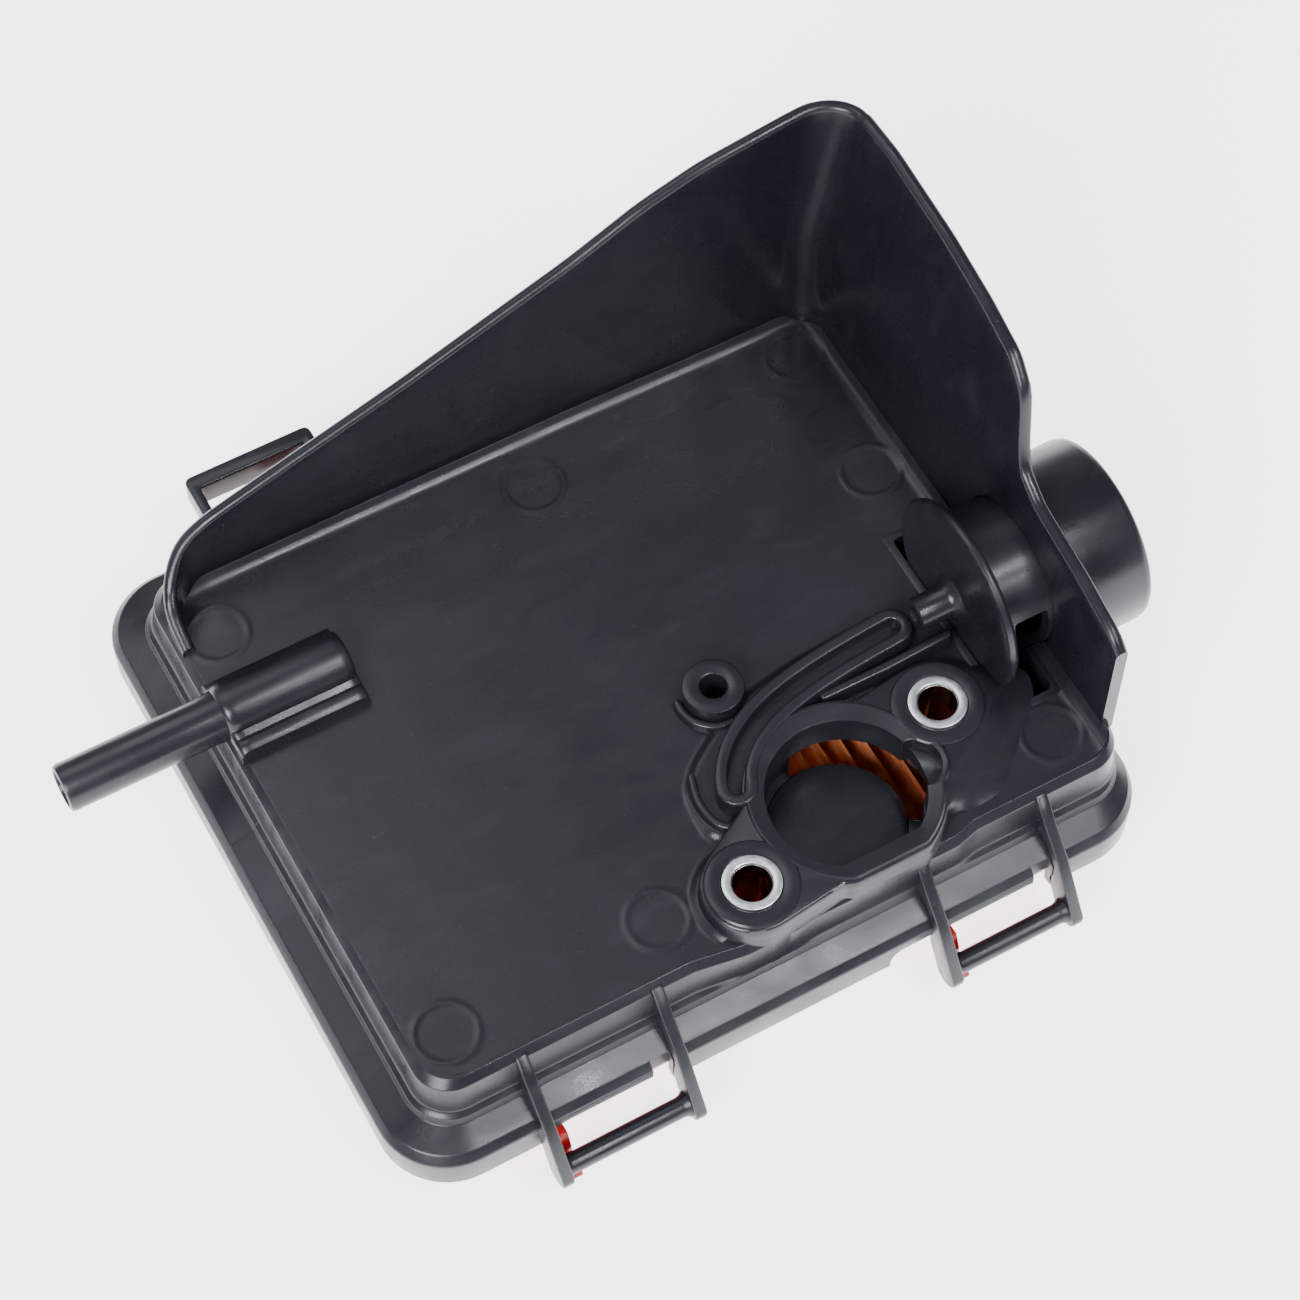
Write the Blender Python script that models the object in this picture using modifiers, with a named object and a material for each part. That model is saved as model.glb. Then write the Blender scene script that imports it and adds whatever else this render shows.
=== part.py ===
"""Air filter housing of a small engine, made as an assembly of separate pieces.

The dimensions below are millimetres in the plate's frame. Its corner (0, 0, 0) is the
front left corner of the flat plate that the carburettor bolts to, +X runs along the
front edge towards the primer, +Y towards the tall deflector wall and +Z towards the
engine. place() turns them into world metres, with the origin under the middle of the
whole part, on the surface that its cover rests on.
"""
from math import asin, cos, degrees, hypot, pi, radians, sin

import bmesh
import bpy
from mathutils import Matrix, Vector

# ---------------------------------------------------------------- driving dimensions
MM = 0.001
GAP = 0.35                     # clearance between touching pieces

WALL = 2.0                     # thickness of the tray
WALL_THICK = 2.2               # thickness of the deflector wall
SKIRT_Z = -18.0                # lower edge of the tray's skirt
FLOOR_Z = -27.0                # outside of the cover, which the part rests on
CORNER_STEPS = 6

TUBE_Y, TUBE_Z = 72.5, 1.6     # axis of the breather tube
TUBE_END_X = -27.0
TUBE_R, TUBE_BORE = 4.0, 3.0

BOLT_SPACING = 43.0
LOWER_BOLT = Vector((57.5, 5.9))
UPPER_BOLT = LOWER_BOLT + BOLT_SPACING * Vector((cos(radians(18.0)), sin(radians(18.0))))
THROAT = (LOWER_BOLT + UPPER_BOLT) / 2
THROAT_R = 12.5
THROAT_FLAT_Y = 2.3            # the throat is cut straight along its front
LAND_Z = 3.9
SLEEVE_R, SLEEVE_BORE = 4.75, 3.1
SLEEVE_TOP, SLEEVE_BOTTOM = 4.3, -10.6

PRIMER_Y, PRIMER_Z = 32.4, 8.3
BARREL_R, BARREL_BORE = 12.5, 10.6
CUP_R, CUP_BORE = 15.7, 13.9
CUP_FRONT_X = 136.0
BULB_R, BULB_LENGTH, BULB_BACK_X = 9.8, 9.6, 124.4

HINGE_Y, HINGE_Z, HINGE_BAR_R = -12.0, -19.6, 1.7
HOOK_BORE, HOOK_R, LUG_TIP_R = HINGE_BAR_R + 0.45, HINGE_BAR_R + 1.6, 3.0
LUG_X = (14.5, 37.5, 83.5, 105.5)
LUG_THICK = 2.0

LATCH_LOOPS = (("left", 15.5), ("right", 83.5))
LOOP_WIDTH, LOOP_BACK_Y, LOOP_BAR = 23.0, 122.0, 2.9

# The extremes of the part set the origin under its middle.
MIDDLE_X = (TUBE_END_X + CUP_FRONT_X) / 2
MIDDLE_Y = (HINGE_Y - LUG_TIP_R + LOOP_BACK_Y) / 2


def place(x, y, z):
    """World metres of a point given in the plate's frame."""
    return Vector((x - MIDDLE_X, y - MIDDLE_Y, z - FLOOR_Z)) * MM


# ---------------------------------------------------------------- scene and helpers
for old in list(bpy.data.objects):
    bpy.data.objects.remove(old, do_unlink=True)

PARTS = bpy.data.collections.new("air_filter_housing")
CUTTERS = bpy.data.collections.new("cutters")
for collection in (PARTS, CUTTERS):
    bpy.context.scene.collection.children.link(collection)


def material(name, colour, roughness, metallic=0.0):
    made = bpy.data.materials.new(name)
    made.use_nodes = True
    shader = made.node_tree.nodes["Principled BSDF"]
    shader.inputs["Base Color"].default_value = (*colour, 1.0)
    shader.inputs["Roughness"].default_value = roughness
    shader.inputs["Metallic"].default_value = metallic
    return made


BLACK = material("black_nylon", (0.045, 0.048, 0.055), 0.45)
DARK = material("dark_nylon", (0.025, 0.027, 0.032), 0.4)
RED = material("red_cover_plastic", (0.55, 0.03, 0.02), 0.35)
STEEL = material("zinc_steel", (0.75, 0.75, 0.73), 0.3, 1.0)
RUBBER = material("black_rubber", (0.02, 0.02, 0.02), 0.6)
SEAL = material("orange_seal", (0.7, 0.12, 0.03), 0.6)
PAPER = material("filter_paper", (0.75, 0.25, 0.08), 0.8)


def adopt(mesh, name, surface=None):
    """Link a mesh as a part with its material, or as a cutter when it has none."""
    made = bpy.data.objects.new(name, mesh)
    if surface is None:
        CUTTERS.objects.link(made)
        made.hide_render = True
        made.display_type = "WIRE"
    else:
        PARTS.objects.link(made)
        mesh.materials.clear()
        mesh.materials.append(surface)
        mesh.shade_smooth()
        mesh.set_sharp_from_angle(angle=radians(35))
    return made


def box(name, low, high, surface=None):
    bm = bmesh.new()
    bmesh.ops.create_cube(bm, size=1.0)
    size = Vector(high) - Vector(low)
    middle = (Vector(high) + Vector(low)) / 2
    for vert in bm.verts:
        vert.co = place(*(middle + Vector(c * s for c, s in zip(vert.co, size))))
    mesh = bpy.data.meshes.new(name)
    bm.to_mesh(mesh)
    bm.free()
    return adopt(mesh, name, surface)


def rod(name, start, end, radius, surface=None, segments=32):
    """A round bar between two points on its axis."""
    start, end = Vector(start), Vector(end)
    axis = end - start
    bm = bmesh.new()
    bmesh.ops.create_cone(bm, cap_ends=True, segments=segments, radius1=radius,
                          radius2=radius, depth=axis.length)
    turn = axis.to_track_quat("Z", "Y").to_matrix()
    for vert in bm.verts:
        vert.co = place(*((start + end) / 2 + turn @ vert.co))
    mesh = bpy.data.meshes.new(name)
    bm.to_mesh(mesh)
    bm.free()
    return adopt(mesh, name, surface)


def extrusion(name, outline, low, high, surface=None, along="Z"):
    """A flat outline made thick: along Z from (x, y) points, along X from (y, z)."""
    curve = bpy.data.curves.new(name, "CURVE")
    curve.dimensions = "2D"
    curve.fill_mode = "BOTH"
    curve.extrude = (high - low) / 2
    spline = curve.splines.new("POLY")
    spline.points.add(len(outline) - 1)
    for point, (u, v) in zip(spline.points, outline):
        point.co = (u, v, 0.0, 1.0)
    spline.use_cyclic_u = True
    guide = bpy.data.objects.new(name + "_outline", curve)
    bpy.context.scene.collection.objects.link(guide)
    bpy.context.view_layer.update()
    evaluated = guide.evaluated_get(bpy.context.evaluated_depsgraph_get())
    mesh = bpy.data.meshes.new_from_object(evaluated)
    bpy.data.objects.remove(guide)
    mesh.name = name
    middle = (low + high) / 2
    for vert in mesh.vertices:
        u, v, w = vert.co
        vert.co = place(u, v, w + middle) if along == "Z" else place(w + middle, u, v)
    bm = bmesh.new()
    bm.from_mesh(mesh)
    bmesh.ops.remove_doubles(bm, verts=bm.verts, dist=0.00001)
    bmesh.ops.recalc_face_normals(bm, faces=bm.faces)
    bm.to_mesh(mesh)
    bm.free()
    return adopt(mesh, name, surface)


def combine(part, other, operation):
    """Cut the other shape from a part, or fuse it on; the other one becomes a guide."""
    step = part.modifiers.new(operation.lower(), "BOOLEAN")
    step.operation = operation
    step.solver = "EXACT"
    step.object = other
    return part


def cut(part, *others):
    for other in others:
        combine(part, other, "DIFFERENCE")


def fuse(part, *others):
    for other in others:
        combine(part, other, "UNION")


def set_origin(part, x, y, z):
    """Move a part's origin onto a joint's axis without moving its shape."""
    origin = place(x, y, z)
    part.data.transform(Matrix.Translation(-origin))
    part.location = origin


def arc(cx, cy, radius, start, end, steps):
    angles = (radians(start + (end - start) * i / steps) for i in range(steps + 1))
    return [(cx + radius * cos(a), cy + radius * sin(a)) for a in angles]


def rounded_rectangle(x0, x1, y0, y1, radius):
    corners = ((x1 - radius, y1 - radius, 0), (x0 + radius, y1 - radius, 90),
               (x0 + radius, y0 + radius, 180), (x1 - radius, y0 + radius, 270))
    points = []
    for cx, cy, start in corners:
        points += arc(cx, cy, radius, start, start + 90, CORNER_STEPS)
    return points


def pan(name, sections, thickness, surface):
    """A shell lofted through rounded rectangles, closed at the first one.

    Each section is (x0, x1, y0, y1, corner radius, z); the wall grows inwards.
    """
    upwards = sections[0][5] > sections[-1][5]
    bm = bmesh.new()
    previous = None
    for *rectangle, z in sections:
        loop = [bm.verts.new(place(x, y, z)) for x, y in rounded_rectangle(*rectangle)]
        if previous is None:
            bm.faces.new(loop)
        else:
            for i, vert in enumerate(loop):
                after = (i + 1) % len(loop)
                bm.faces.new((previous[i], vert, loop[after], previous[after]))
        previous = loop
    if not upwards:
        bmesh.ops.reverse_faces(bm, faces=bm.faces)
    mesh = bpy.data.meshes.new(name)
    bm.to_mesh(mesh)
    bm.free()
    shell = adopt(mesh, name, surface)
    solid = shell.modifiers.new("thickness", "SOLIDIFY")
    solid.thickness = thickness * MM
    solid.offset = -1.0
    return shell


# ---------------------------------------------------------------- base tray
def base_tray():
    """Plate, rounded shoulder, flange and skirt: the black half of the housing."""
    tray = pan("base_tray", (
        (1.0, 120.8, 1.0, 99.5, 5.0, 0.0),
        (-0.4, 121.6, -0.4, 100.6, 6.0, -1.4),
        (-1.6, 122.0, -1.6, 102.0, 6.5, -7.4),
        (-3.2, 122.6, -3.2, 103.4, 8.0, -8.8),
        (-7.2, 124.0, -7.0, 108.4, 11.0, -10.6),
        (-7.9, 124.4, -7.8, 109.0, 11.5, -12.0),
        (-7.9, 124.4, -7.8, 109.0, 11.5, SKIRT_Z)), WALL, BLACK)
    cut(tray, box("pocket_clearance", *POCKET_OUTSIDE), BARREL_CUTTER, THROAT_CUTTER)
    for label, bolt in BOLTS:
        cut(tray, rod(f"{label}_bolt_clearance", (*bolt, 3), (*bolt, -5), SLEEVE_R + GAP))
    cut(tray, rod("screw_hole", (*SCREW_BOSS, 2), (*SCREW_BOSS, -4), 2.1, segments=20))
    cut(tray, rod("breather_port", (13, TUBE_Y, 2), (13, TUBE_Y, -4), TUBE_BORE))
    for side, first, last in (("left", LUG_X[0], LUG_X[1]), ("right", LUG_X[2], LUG_X[3])):
        cut(tray, box(f"skirt_relief_{side}", (first + 1.0, -10, -20), (last - 1.5, -4, -14.0)))
        cut(tray, box(f"skirt_slot_{side}", (last - 4.7, -9, -19), (last - 1.2, -6.5, -9.0)))
    return tray


# ---------------------------------------------------------------- carburettor face
BOLTS = (("lower", LOWER_BOLT), ("upper", UPPER_BOLT))
SCREW_BOSS = (69.5, 39.0)
FLAT_ANGLE = degrees(asin((THROAT_FLAT_Y - THROAT.y) / THROAT_R))
THROAT_CUTTER = extrusion(
    "throat_opening", arc(*THROAT, THROAT_R, FLAT_ANGLE, 180 - FLAT_ANGLE, 36), -12, 12)


def carburettor_land():
    """The raised face that the carburettor seals on, with its two bolt bosses."""
    land_r, boss_r = 15.6, 8.3
    land = extrusion("carburettor_land", arc(*THROAT, land_r, 0, 354, 59), GAP, LAND_Z, BLACK)
    for label, bolt in BOLTS:
        fuse(land, rod(f"{label}_boss", (*bolt, GAP), (*bolt, LAND_Z + 0.1), boss_r))
    cut(land, box("land_front", (40, -9, -1), (120, -2.6, 9)), THROAT_CUTTER)
    cut(land, rod("land_notch", (THROAT.x + 11.9, 11.7, -1), (THROAT.x + 11.9, 11.7, 9), 4.1))
    for label, bolt in BOLTS:
        cut(land, rod(f"{label}_sleeve_seat", (*bolt, -1), (*bolt, 9), SLEEVE_R + GAP))
    return land


def bolt_sleeve(label, bolt):
    sleeve = rod(f"{label}_bolt_sleeve", (*bolt, SLEEVE_BOTTOM), (*bolt, SLEEVE_TOP),
                 SLEEVE_R, STEEL)
    cut(sleeve, rod(f"{label}_sleeve_bore", (*bolt, -20), (*bolt, 9), SLEEVE_BORE))
    return sleeve


def baffle_disc():
    """The disc that hangs under the throat on a curved web and two legs."""
    x, y = THROAT.x - 0.4, THROAT.y + 1.0
    disc = rod("baffle_disc", (x, y, -9.8), (x, y, -8.2), 11.3, DARK, segments=40)
    web = arc(x, y, 13.9, 96, 160, 10) + arc(x, y, 12.8, 160, 96, 10)
    web_foot = arc(x, y, 13.8, 100, 156, 9) + arc(x, y, 10.5, 156, 100, 9)
    fuse(disc, extrusion("baffle_web_foot", web_foot, -9.6, -8.4),
         extrusion("baffle_web", web, -9.8, -WALL - GAP))
    for number, angle in enumerate((212, 330)):
        a = radians(angle)
        direction = Vector((cos(a), sin(a)))
        for kind, near, far, half, low, high in (("arm", 9.5, 14.5, 1.4, -9.6, -8.4),
                                                 ("post", 13.3, 14.8, 1.6, -9.8, -WALL - GAP)):
            first, last = near * direction, far * direction
            side = half * Vector((-direction.y, direction.x))
            outline = [(x + p.x, y + p.y) for p in
                       (first - side, last - side, last + side, first + side)]
            fuse(disc, extrusion(f"baffle_{kind}_{number}", outline, low, high))
    return disc


def screw_boss():
    boss = rod("screw_boss", (*SCREW_BOSS, GAP), (*SCREW_BOSS, 3.6), 5.0, BLACK)
    cut(boss, rod("screw_boss_hole", (*SCREW_BOSS, -1), (*SCREW_BOSS, 5), 2.1, segments=20))
    return boss


def ribbon(points, width):
    """The outline of a band of one width along a path of (x, y) points."""
    left, right = [], []
    for i, point in enumerate(points):
        before, after = points[max(i - 1, 0)], points[min(i + 1, len(points) - 1)]
        dx, dy = after[0] - before[0], after[1] - before[1]
        nx, ny = -dy / hypot(dx, dy) * width / 2, dx / hypot(dx, dy) * width / 2
        left.append((point[0] + nx, point[1] + ny))
        right.append((point[0] - nx, point[1] - ny))
    return left + right[::-1]


def primer_channel():
    """The raised groove that carries the primer's air from its nipple to the throat."""
    turn = arc(*THROAT, 19.6, 145, 95, 8)
    path = turn + [(88.0, 34.4), (99.4, 35.2)]
    channel = extrusion("primer_channel", ribbon(path, 6.4), GAP, 4.2, BLACK)
    cut(channel, extrusion("channel_groove", ribbon(path[1:], 2.8), 1.6, 6.0))
    return channel


# ---------------------------------------------------------------- deflector wall
# Height of the wall's top edge along the back, as (x, z), and down the side, as (y, z).
BACK_TOP = ((0.0, 4.0), (4.0, 11.5), (10.3, 16.0), (19.3, 19.3), (46.0, 28.7),
            (76.4, 40.8), (88.8, 46.9), (99.4, 50.4), (114.0, 53.2), (121.0, 53.4))
SIDE_TOP = ((4.2, 21.5), (8.0, 24.6), (17.7, 27.0), (30.0, 28.8), (35.5, 31.5), (38.0, 37.0),
            (40.0, 44.0), (45.0, 48.0), (54.0, 50.4), (66.0, 52.5), (83.0, 54.0), (96.0, 53.4))
WALL_X, WALL_Y = 120.7, 97.6   # middle of the wall's thickness, side and back
WALL_START_Y, WALL_END_Y = 86.0, 4.6
LEFT_CORNER_R, RIGHT_CORNER_R = 8.0, 6.5
FLARE_FROM_Z, FLARE = 24.0, 4.6   # the side wall leans out above the primer


def between(table, value):
    """Straight-line reading of a table of (position, height) pairs."""
    if value <= table[0][0]:
        return table[0][1]
    for (a, low), (b, high) in zip(table, table[1:]):
        if value <= b:
            return low + (high - low) * (value - a) / (b - a)
    return table[-1][1]


def wall_stations():
    """Plan points of the wall with the height of its top and how much it flares."""
    left_x = 0.9
    plan = [(left_x, WALL_START_Y)]
    plan += arc(left_x + LEFT_CORNER_R, WALL_Y - LEFT_CORNER_R, LEFT_CORNER_R, 180, 90, 6)
    plan += [(x, WALL_Y) for x in (19.3, 32.0, 46.0, 61.0, 76.4, 88.8, 99.4)]
    plan += arc(WALL_X - RIGHT_CORNER_R, WALL_Y - RIGHT_CORNER_R, RIGHT_CORNER_R, 90, 0, 6)
    plan += [(WALL_X, y) for y in (83, 66, 54, 45, 40, 38, 35.5, 30, 17.7, 8, WALL_END_Y)]
    stations = []
    for number, (x, y) in enumerate(plan):
        on_side = x > WALL_X - 0.1 and y < WALL_Y - RIGHT_CORNER_R + 0.1
        top = between(SIDE_TOP, y) if on_side else between(BACK_TOP, x)
        if number == 0:
            top = 1.6
        share = min(1.0, max(0.0, (x - 99.4) / (WALL_X - 99.4)))
        stations.append((x, y, top, share))
    return stations


def deflector_wall():
    rows = 6
    bm = bmesh.new()
    previous = None
    for x, y, top, share in wall_stations():
        column = []
        for row in range(rows + 1):
            z = GAP + (top - GAP) * row / rows
            lean = share * FLARE * max(0.0, z - FLARE_FROM_Z) / (53.4 - FLARE_FROM_Z)
            column.append(bm.verts.new(place(x + lean, y, z)))
        if previous:
            for row in range(rows):
                bm.faces.new((previous[row], previous[row + 1], column[row + 1], column[row]))
        previous = column
    mesh = bpy.data.meshes.new("deflector_wall")
    bm.to_mesh(mesh)
    bm.free()
    wall = adopt(mesh, "deflector_wall", DARK)
    solid = wall.modifiers.new("thickness", "SOLIDIFY")
    solid.thickness = WALL_THICK * MM
    solid.offset = 0.0
    cut(wall, BARREL_CUTTER)
    return wall


# ---------------------------------------------------------------- primer
PRIMER_AXIS = (PRIMER_Y, PRIMER_Z)
DISC_BACK_X, DISC_R = 109.2, 16.4
POCKET_OUTSIDE = ((107.3, 12.8, -11.0), (118.8, 52.0, 5.0))
BARREL_CUTTER = rod("barrel_clearance", (113, *PRIMER_AXIS), (126, *PRIMER_AXIS), BARREL_R + GAP)


def primer_pocket():
    """The tub sunk in the plate that makes room for the primer's back plate."""
    low, high = Vector(POCKET_OUTSIDE[0]), Vector(POCKET_OUTSIDE[1])
    clear = Vector((GAP, GAP, GAP))
    tub = box("primer_pocket", low + clear, (high.x - GAP, high.y - GAP, -0.1), BLACK)
    wall = Vector((1.4, 1.4, 1.4))
    cut(tub, box("pocket_hollow", low + clear + wall,
                 (high.x - GAP - 1.4, high.y - GAP - 1.4, 9)), BARREL_CUTTER)
    return tub


def tube_along_x(name, start_x, end_x, radius, bore, surface):
    tube = rod(name, (start_x, *PRIMER_AXIS), (end_x, *PRIMER_AXIS), radius, surface)
    cut(tube, rod(name + "_bore", (start_x - 1, *PRIMER_AXIS), (end_x + 1, *PRIMER_AXIS), bore))
    return tube


def primer():
    rod("primer_backplate", (DISC_BACK_X, *PRIMER_AXIS), (DISC_BACK_X + 1.8, *PRIMER_AXIS),
        DISC_R, BLACK, segments=40)
    barrel = tube_along_x("primer_barrel", DISC_BACK_X + 1.8 + GAP, 123.2,
                          BARREL_R, BARREL_BORE, BLACK)
    window = box("barrel_window", (113.2, 12, -8), (117.6, PRIMER_Y - 3, PRIMER_Z + 1))
    cut(barrel, window)
    cup = tube_along_x("primer_cup", 123.2 + GAP, CUP_FRONT_X, CUP_R, CUP_BORE, BLACK)
    cut(cup, box("cup_foot", (120, 10, -12), (125.2, 55, -7.0)))
    tube_along_x("primer_retaining_ring", 126.4, 128.4, CUP_BORE - GAP, 10.8, STEEL)
    nipple = rod("primer_nipple", (102.4, 33.2, 6.6), (DISC_BACK_X - GAP, 33.2, 6.6), 2.8, BLACK,
                 segments=20)
    cut(nipple, rod("nipple_bore", (101, 33.2, 6.6), (107, 33.2, 6.6), 1.3, segments=16))


def primer_bulb():
    """The rubber button that is pushed in along its own axis."""
    steps = 8
    profile = [(BULB_R * sin(pi / 2 * i / steps) if i else 0.0,
                BULB_LENGTH - 4.5 * (1 - cos(pi / 2 * i / steps))) for i in range(steps + 1)]
    profile += [(BULB_R, 0.0), (BULB_R - 1.6, 0.0), (BULB_R - 1.6, BULB_LENGTH - 5.5)]
    profile += [(0.0, BULB_LENGTH - 2.0)]
    bm = bmesh.new()
    verts = [bm.verts.new(Vector((along, radius, 0.0)) * MM) for radius, along in profile]
    edges = [bm.edges.new(pair) for pair in zip(verts, verts[1:])]
    bmesh.ops.spin(bm, geom=verts + edges, angle=2 * pi, steps=32, axis=(1, 0, 0),
                   cent=(0, 0, 0), use_merge=True)
    bmesh.ops.remove_doubles(bm, verts=bm.verts, dist=0.00001)
    bmesh.ops.recalc_face_normals(bm, faces=bm.faces)
    mesh = bpy.data.meshes.new("primer_bulb")
    bm.to_mesh(mesh)
    bm.free()
    bulb = adopt(mesh, "primer_bulb", RUBBER)
    bulb.location = place(BULB_BACK_X, *PRIMER_AXIS)
    return bulb


# ---------------------------------------------------------------- breather
def breather():
    axis = (TUBE_Y, TUBE_Z)
    tube = rod("breather_tube", (TUBE_END_X, *axis), (-2.0, *axis), TUBE_R, BLACK)
    cut(tube, rod("breather_bore", (TUBE_END_X - 1, *axis), (-1, *axis), TUBE_BORE))
    boss = rod("breather_boss", (-1.6, *axis), (22.0, *axis), 4.9, BLACK)
    fuse(boss, box("breather_pad", (1.5, 64.0, -1), (21.6, 79.0, 2.8)))
    cut(boss, box("boss_underside", (-5, 55, -9), (30, 90, GAP)))
    cut(boss, rod("boss_bore", (-3, *axis), (15, *axis), TUBE_BORE))


# ---------------------------------------------------------------- hinge and latches
def hinge_lugs():
    """Four webs that stand out from the front of the tray and carry two round bars."""
    for number, x in enumerate(LUG_X, start=1):
        tip = arc(HINGE_Y, HINGE_Z, LUG_TIP_R, 160, 315, 6)
        tray_side = [(-0.95, -2.0), (-2.0, -7.1), (-3.4, -8.3), (-7.4, -10.1), (-8.3, -11.9),
                     (-8.3, SKIRT_Z - 0.4)]
        outline = [(-1.2, -1.2)] + tray_side + tip[::-1] + [(-8.4, -9.2)]
        extrusion(f"hinge_lug_{number}", outline, x - LUG_THICK / 2, x + LUG_THICK / 2,
                  BLACK, along="X")
    for side, first, last in (("left", LUG_X[0], LUG_X[1]), ("right", LUG_X[2], LUG_X[3])):
        reach = LUG_THICK / 2 + GAP
        rod(f"hinge_bar_{side}", (first + reach, HINGE_Y, HINGE_Z),
            (last - reach, HINGE_Y, HINGE_Z), HINGE_BAR_R, BLACK, segments=20)


def latch_loops():
    for side, x in LATCH_LOOPS:
        loop = box(f"latch_loop_{side}", (x, 109.4, -13.5), (x + LOOP_WIDTH, LOOP_BACK_Y, -8.5),
                   BLACK)
        cut(loop, box(f"latch_window_{side}", (x + 2, 100, -20),
                      (x + LOOP_WIDTH - 2, LOOP_BACK_Y - LOOP_BAR, 9)))


# ---------------------------------------------------------------- cover
ARM_THICK = 1.8
ARM_X = (LUG_X[0] + LUG_THICK / 2 + GAP, LUG_X[2] + LUG_THICK / 2 + GAP)


def cover():
    """The red pan that closes the housing, with its hinge hooks and latch tongues."""
    axis = (MIDDLE_X, HINGE_Y, HINGE_Z)
    shell = pan("cover_shell", (
        (5.0, 111.0, 5.0, 96.0, 6.0, FLOOR_Z),
        (2.0, 114.0, 2.0, 99.0, 8.0, FLOOR_Z + 0.8),
        (-3.6, 120.2, -3.4, 104.8, 9.0, -22.5),
        (-5.1, 121.6, -5.0, 106.2, 9.0, -18.5),
        (-5.2, 121.7, -5.1, 106.3, 9.0, -15.8)), 1.8, RED)
    set_origin(shell, *axis)
    for side, x in zip(("left", "right"), ARM_X):
        outline = arc(HINGE_Y, HINGE_Z, HOOK_R, 240, 345, 8)
        outline += [(-5.8, -21.4), (-5.8, -16.2), (-9.0, -16.2)]
        outline += arc(HINGE_Y, HINGE_Z, HOOK_BORE, 375, 240, 10)
        arm = extrusion(f"cover_hinge_arm_{side}", outline, x, x + ARM_THICK, RED, along="X")
        set_origin(arm, *axis)
    for side, x in LATCH_LOOPS:
        outline = [(106.8, -18.6), (106.3, -21.2), (114.2, -21.2), (114.2, -6.4), (112.2, -6.4),
                   (112.2, -18.6)]
        tongue = extrusion(f"cover_latch_tongue_{side}", outline, x + 14.5, x + 20.0, RED,
                           along="X")
        set_origin(tongue, *axis)


# ---------------------------------------------------------------- filter
def filter_element():
    """The pleated panel: a soft frame that seals in the tray, pleats and a wire backing."""
    frame = box("filter_seal_frame", (-1.6, -1.2, -15.4), (118.6, 103.4, -13.1), SEAL)
    cut(frame, box("frame_window", (6.0, 6.0, -20), (111.0, 97.0, -5)))
    pleats, first, last, low, high, half = 15, 6.6, 110.4, 6.6, 96.4, 0.6
    bm = bmesh.new()
    previous = None
    for i in range(2 * pleats + 1):
        x = first + half + (last - first - 2 * half) * i / (2 * pleats)
        z = -14.4 if i % 2 else -22.6
        row = [bm.verts.new(place(x, y, z)) for y in (low, high)]
        if previous:
            bm.faces.new((previous[0], row[0], row[1], previous[1]))
        previous = row
    mesh = bpy.data.meshes.new("filter_pleats")
    bm.to_mesh(mesh)
    bm.free()
    paper = adopt(mesh, "filter_pleats", PAPER)
    solid = paper.modifiers.new("thickness", "SOLIDIFY")
    solid.thickness = 2 * half * MM
    solid.offset = 0.0
    box("filter_mesh", (6.6, 6.6, -24.4), (110.4, 96.4, -23.9), STEEL)


base_tray()
carburettor_land()
for bolt_label, bolt_place in BOLTS:
    bolt_sleeve(bolt_label, bolt_place)
baffle_disc()
screw_boss()
primer_channel()
deflector_wall()
primer_pocket()
primer()
primer_bulb()
breather()
hinge_lugs()
latch_loops()
cover()
filter_element()
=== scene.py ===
# %% [markdown]
# # Air filter housing of a small engine
# The housing is a black nylon tray with a tall deflector wall, closed from below by a red
# cover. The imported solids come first, as a fixed frame. Every visible piece is then built in
# that frame, in metres, so nothing has to be fitted afterwards.

# %% Load the frame
from math import cos, pi, radians, sin

import bmesh
import bpy
import numpy as np
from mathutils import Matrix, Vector


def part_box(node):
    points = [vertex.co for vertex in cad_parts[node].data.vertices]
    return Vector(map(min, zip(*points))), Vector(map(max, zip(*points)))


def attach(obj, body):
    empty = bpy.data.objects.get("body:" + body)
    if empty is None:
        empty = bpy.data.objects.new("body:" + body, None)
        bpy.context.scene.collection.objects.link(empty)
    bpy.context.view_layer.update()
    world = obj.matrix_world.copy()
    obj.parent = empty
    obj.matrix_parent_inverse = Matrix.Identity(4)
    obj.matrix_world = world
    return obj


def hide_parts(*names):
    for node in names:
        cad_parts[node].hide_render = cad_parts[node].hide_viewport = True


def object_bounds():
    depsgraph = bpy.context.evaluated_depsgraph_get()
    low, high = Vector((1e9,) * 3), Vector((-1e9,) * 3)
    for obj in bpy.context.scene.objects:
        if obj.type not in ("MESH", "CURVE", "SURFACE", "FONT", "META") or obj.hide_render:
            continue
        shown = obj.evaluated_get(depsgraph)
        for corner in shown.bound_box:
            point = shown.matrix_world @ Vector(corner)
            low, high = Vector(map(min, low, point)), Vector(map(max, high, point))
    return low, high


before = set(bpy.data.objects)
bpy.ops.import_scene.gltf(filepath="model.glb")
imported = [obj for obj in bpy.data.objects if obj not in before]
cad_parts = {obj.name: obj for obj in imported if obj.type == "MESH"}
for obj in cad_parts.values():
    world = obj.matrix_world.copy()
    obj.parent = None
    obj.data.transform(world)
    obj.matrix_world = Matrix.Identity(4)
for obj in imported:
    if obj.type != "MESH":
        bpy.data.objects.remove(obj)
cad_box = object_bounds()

# %% [markdown]
# Drawings of moulded parts use one datum corner. Here it is the front left corner of the flat
# plate, at the plate's surface, and all sizes below are millimetres from it. `at` turns such a
# point into world metres. The corner itself is read from the tray's box, so the pieces follow
# the frame.

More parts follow.
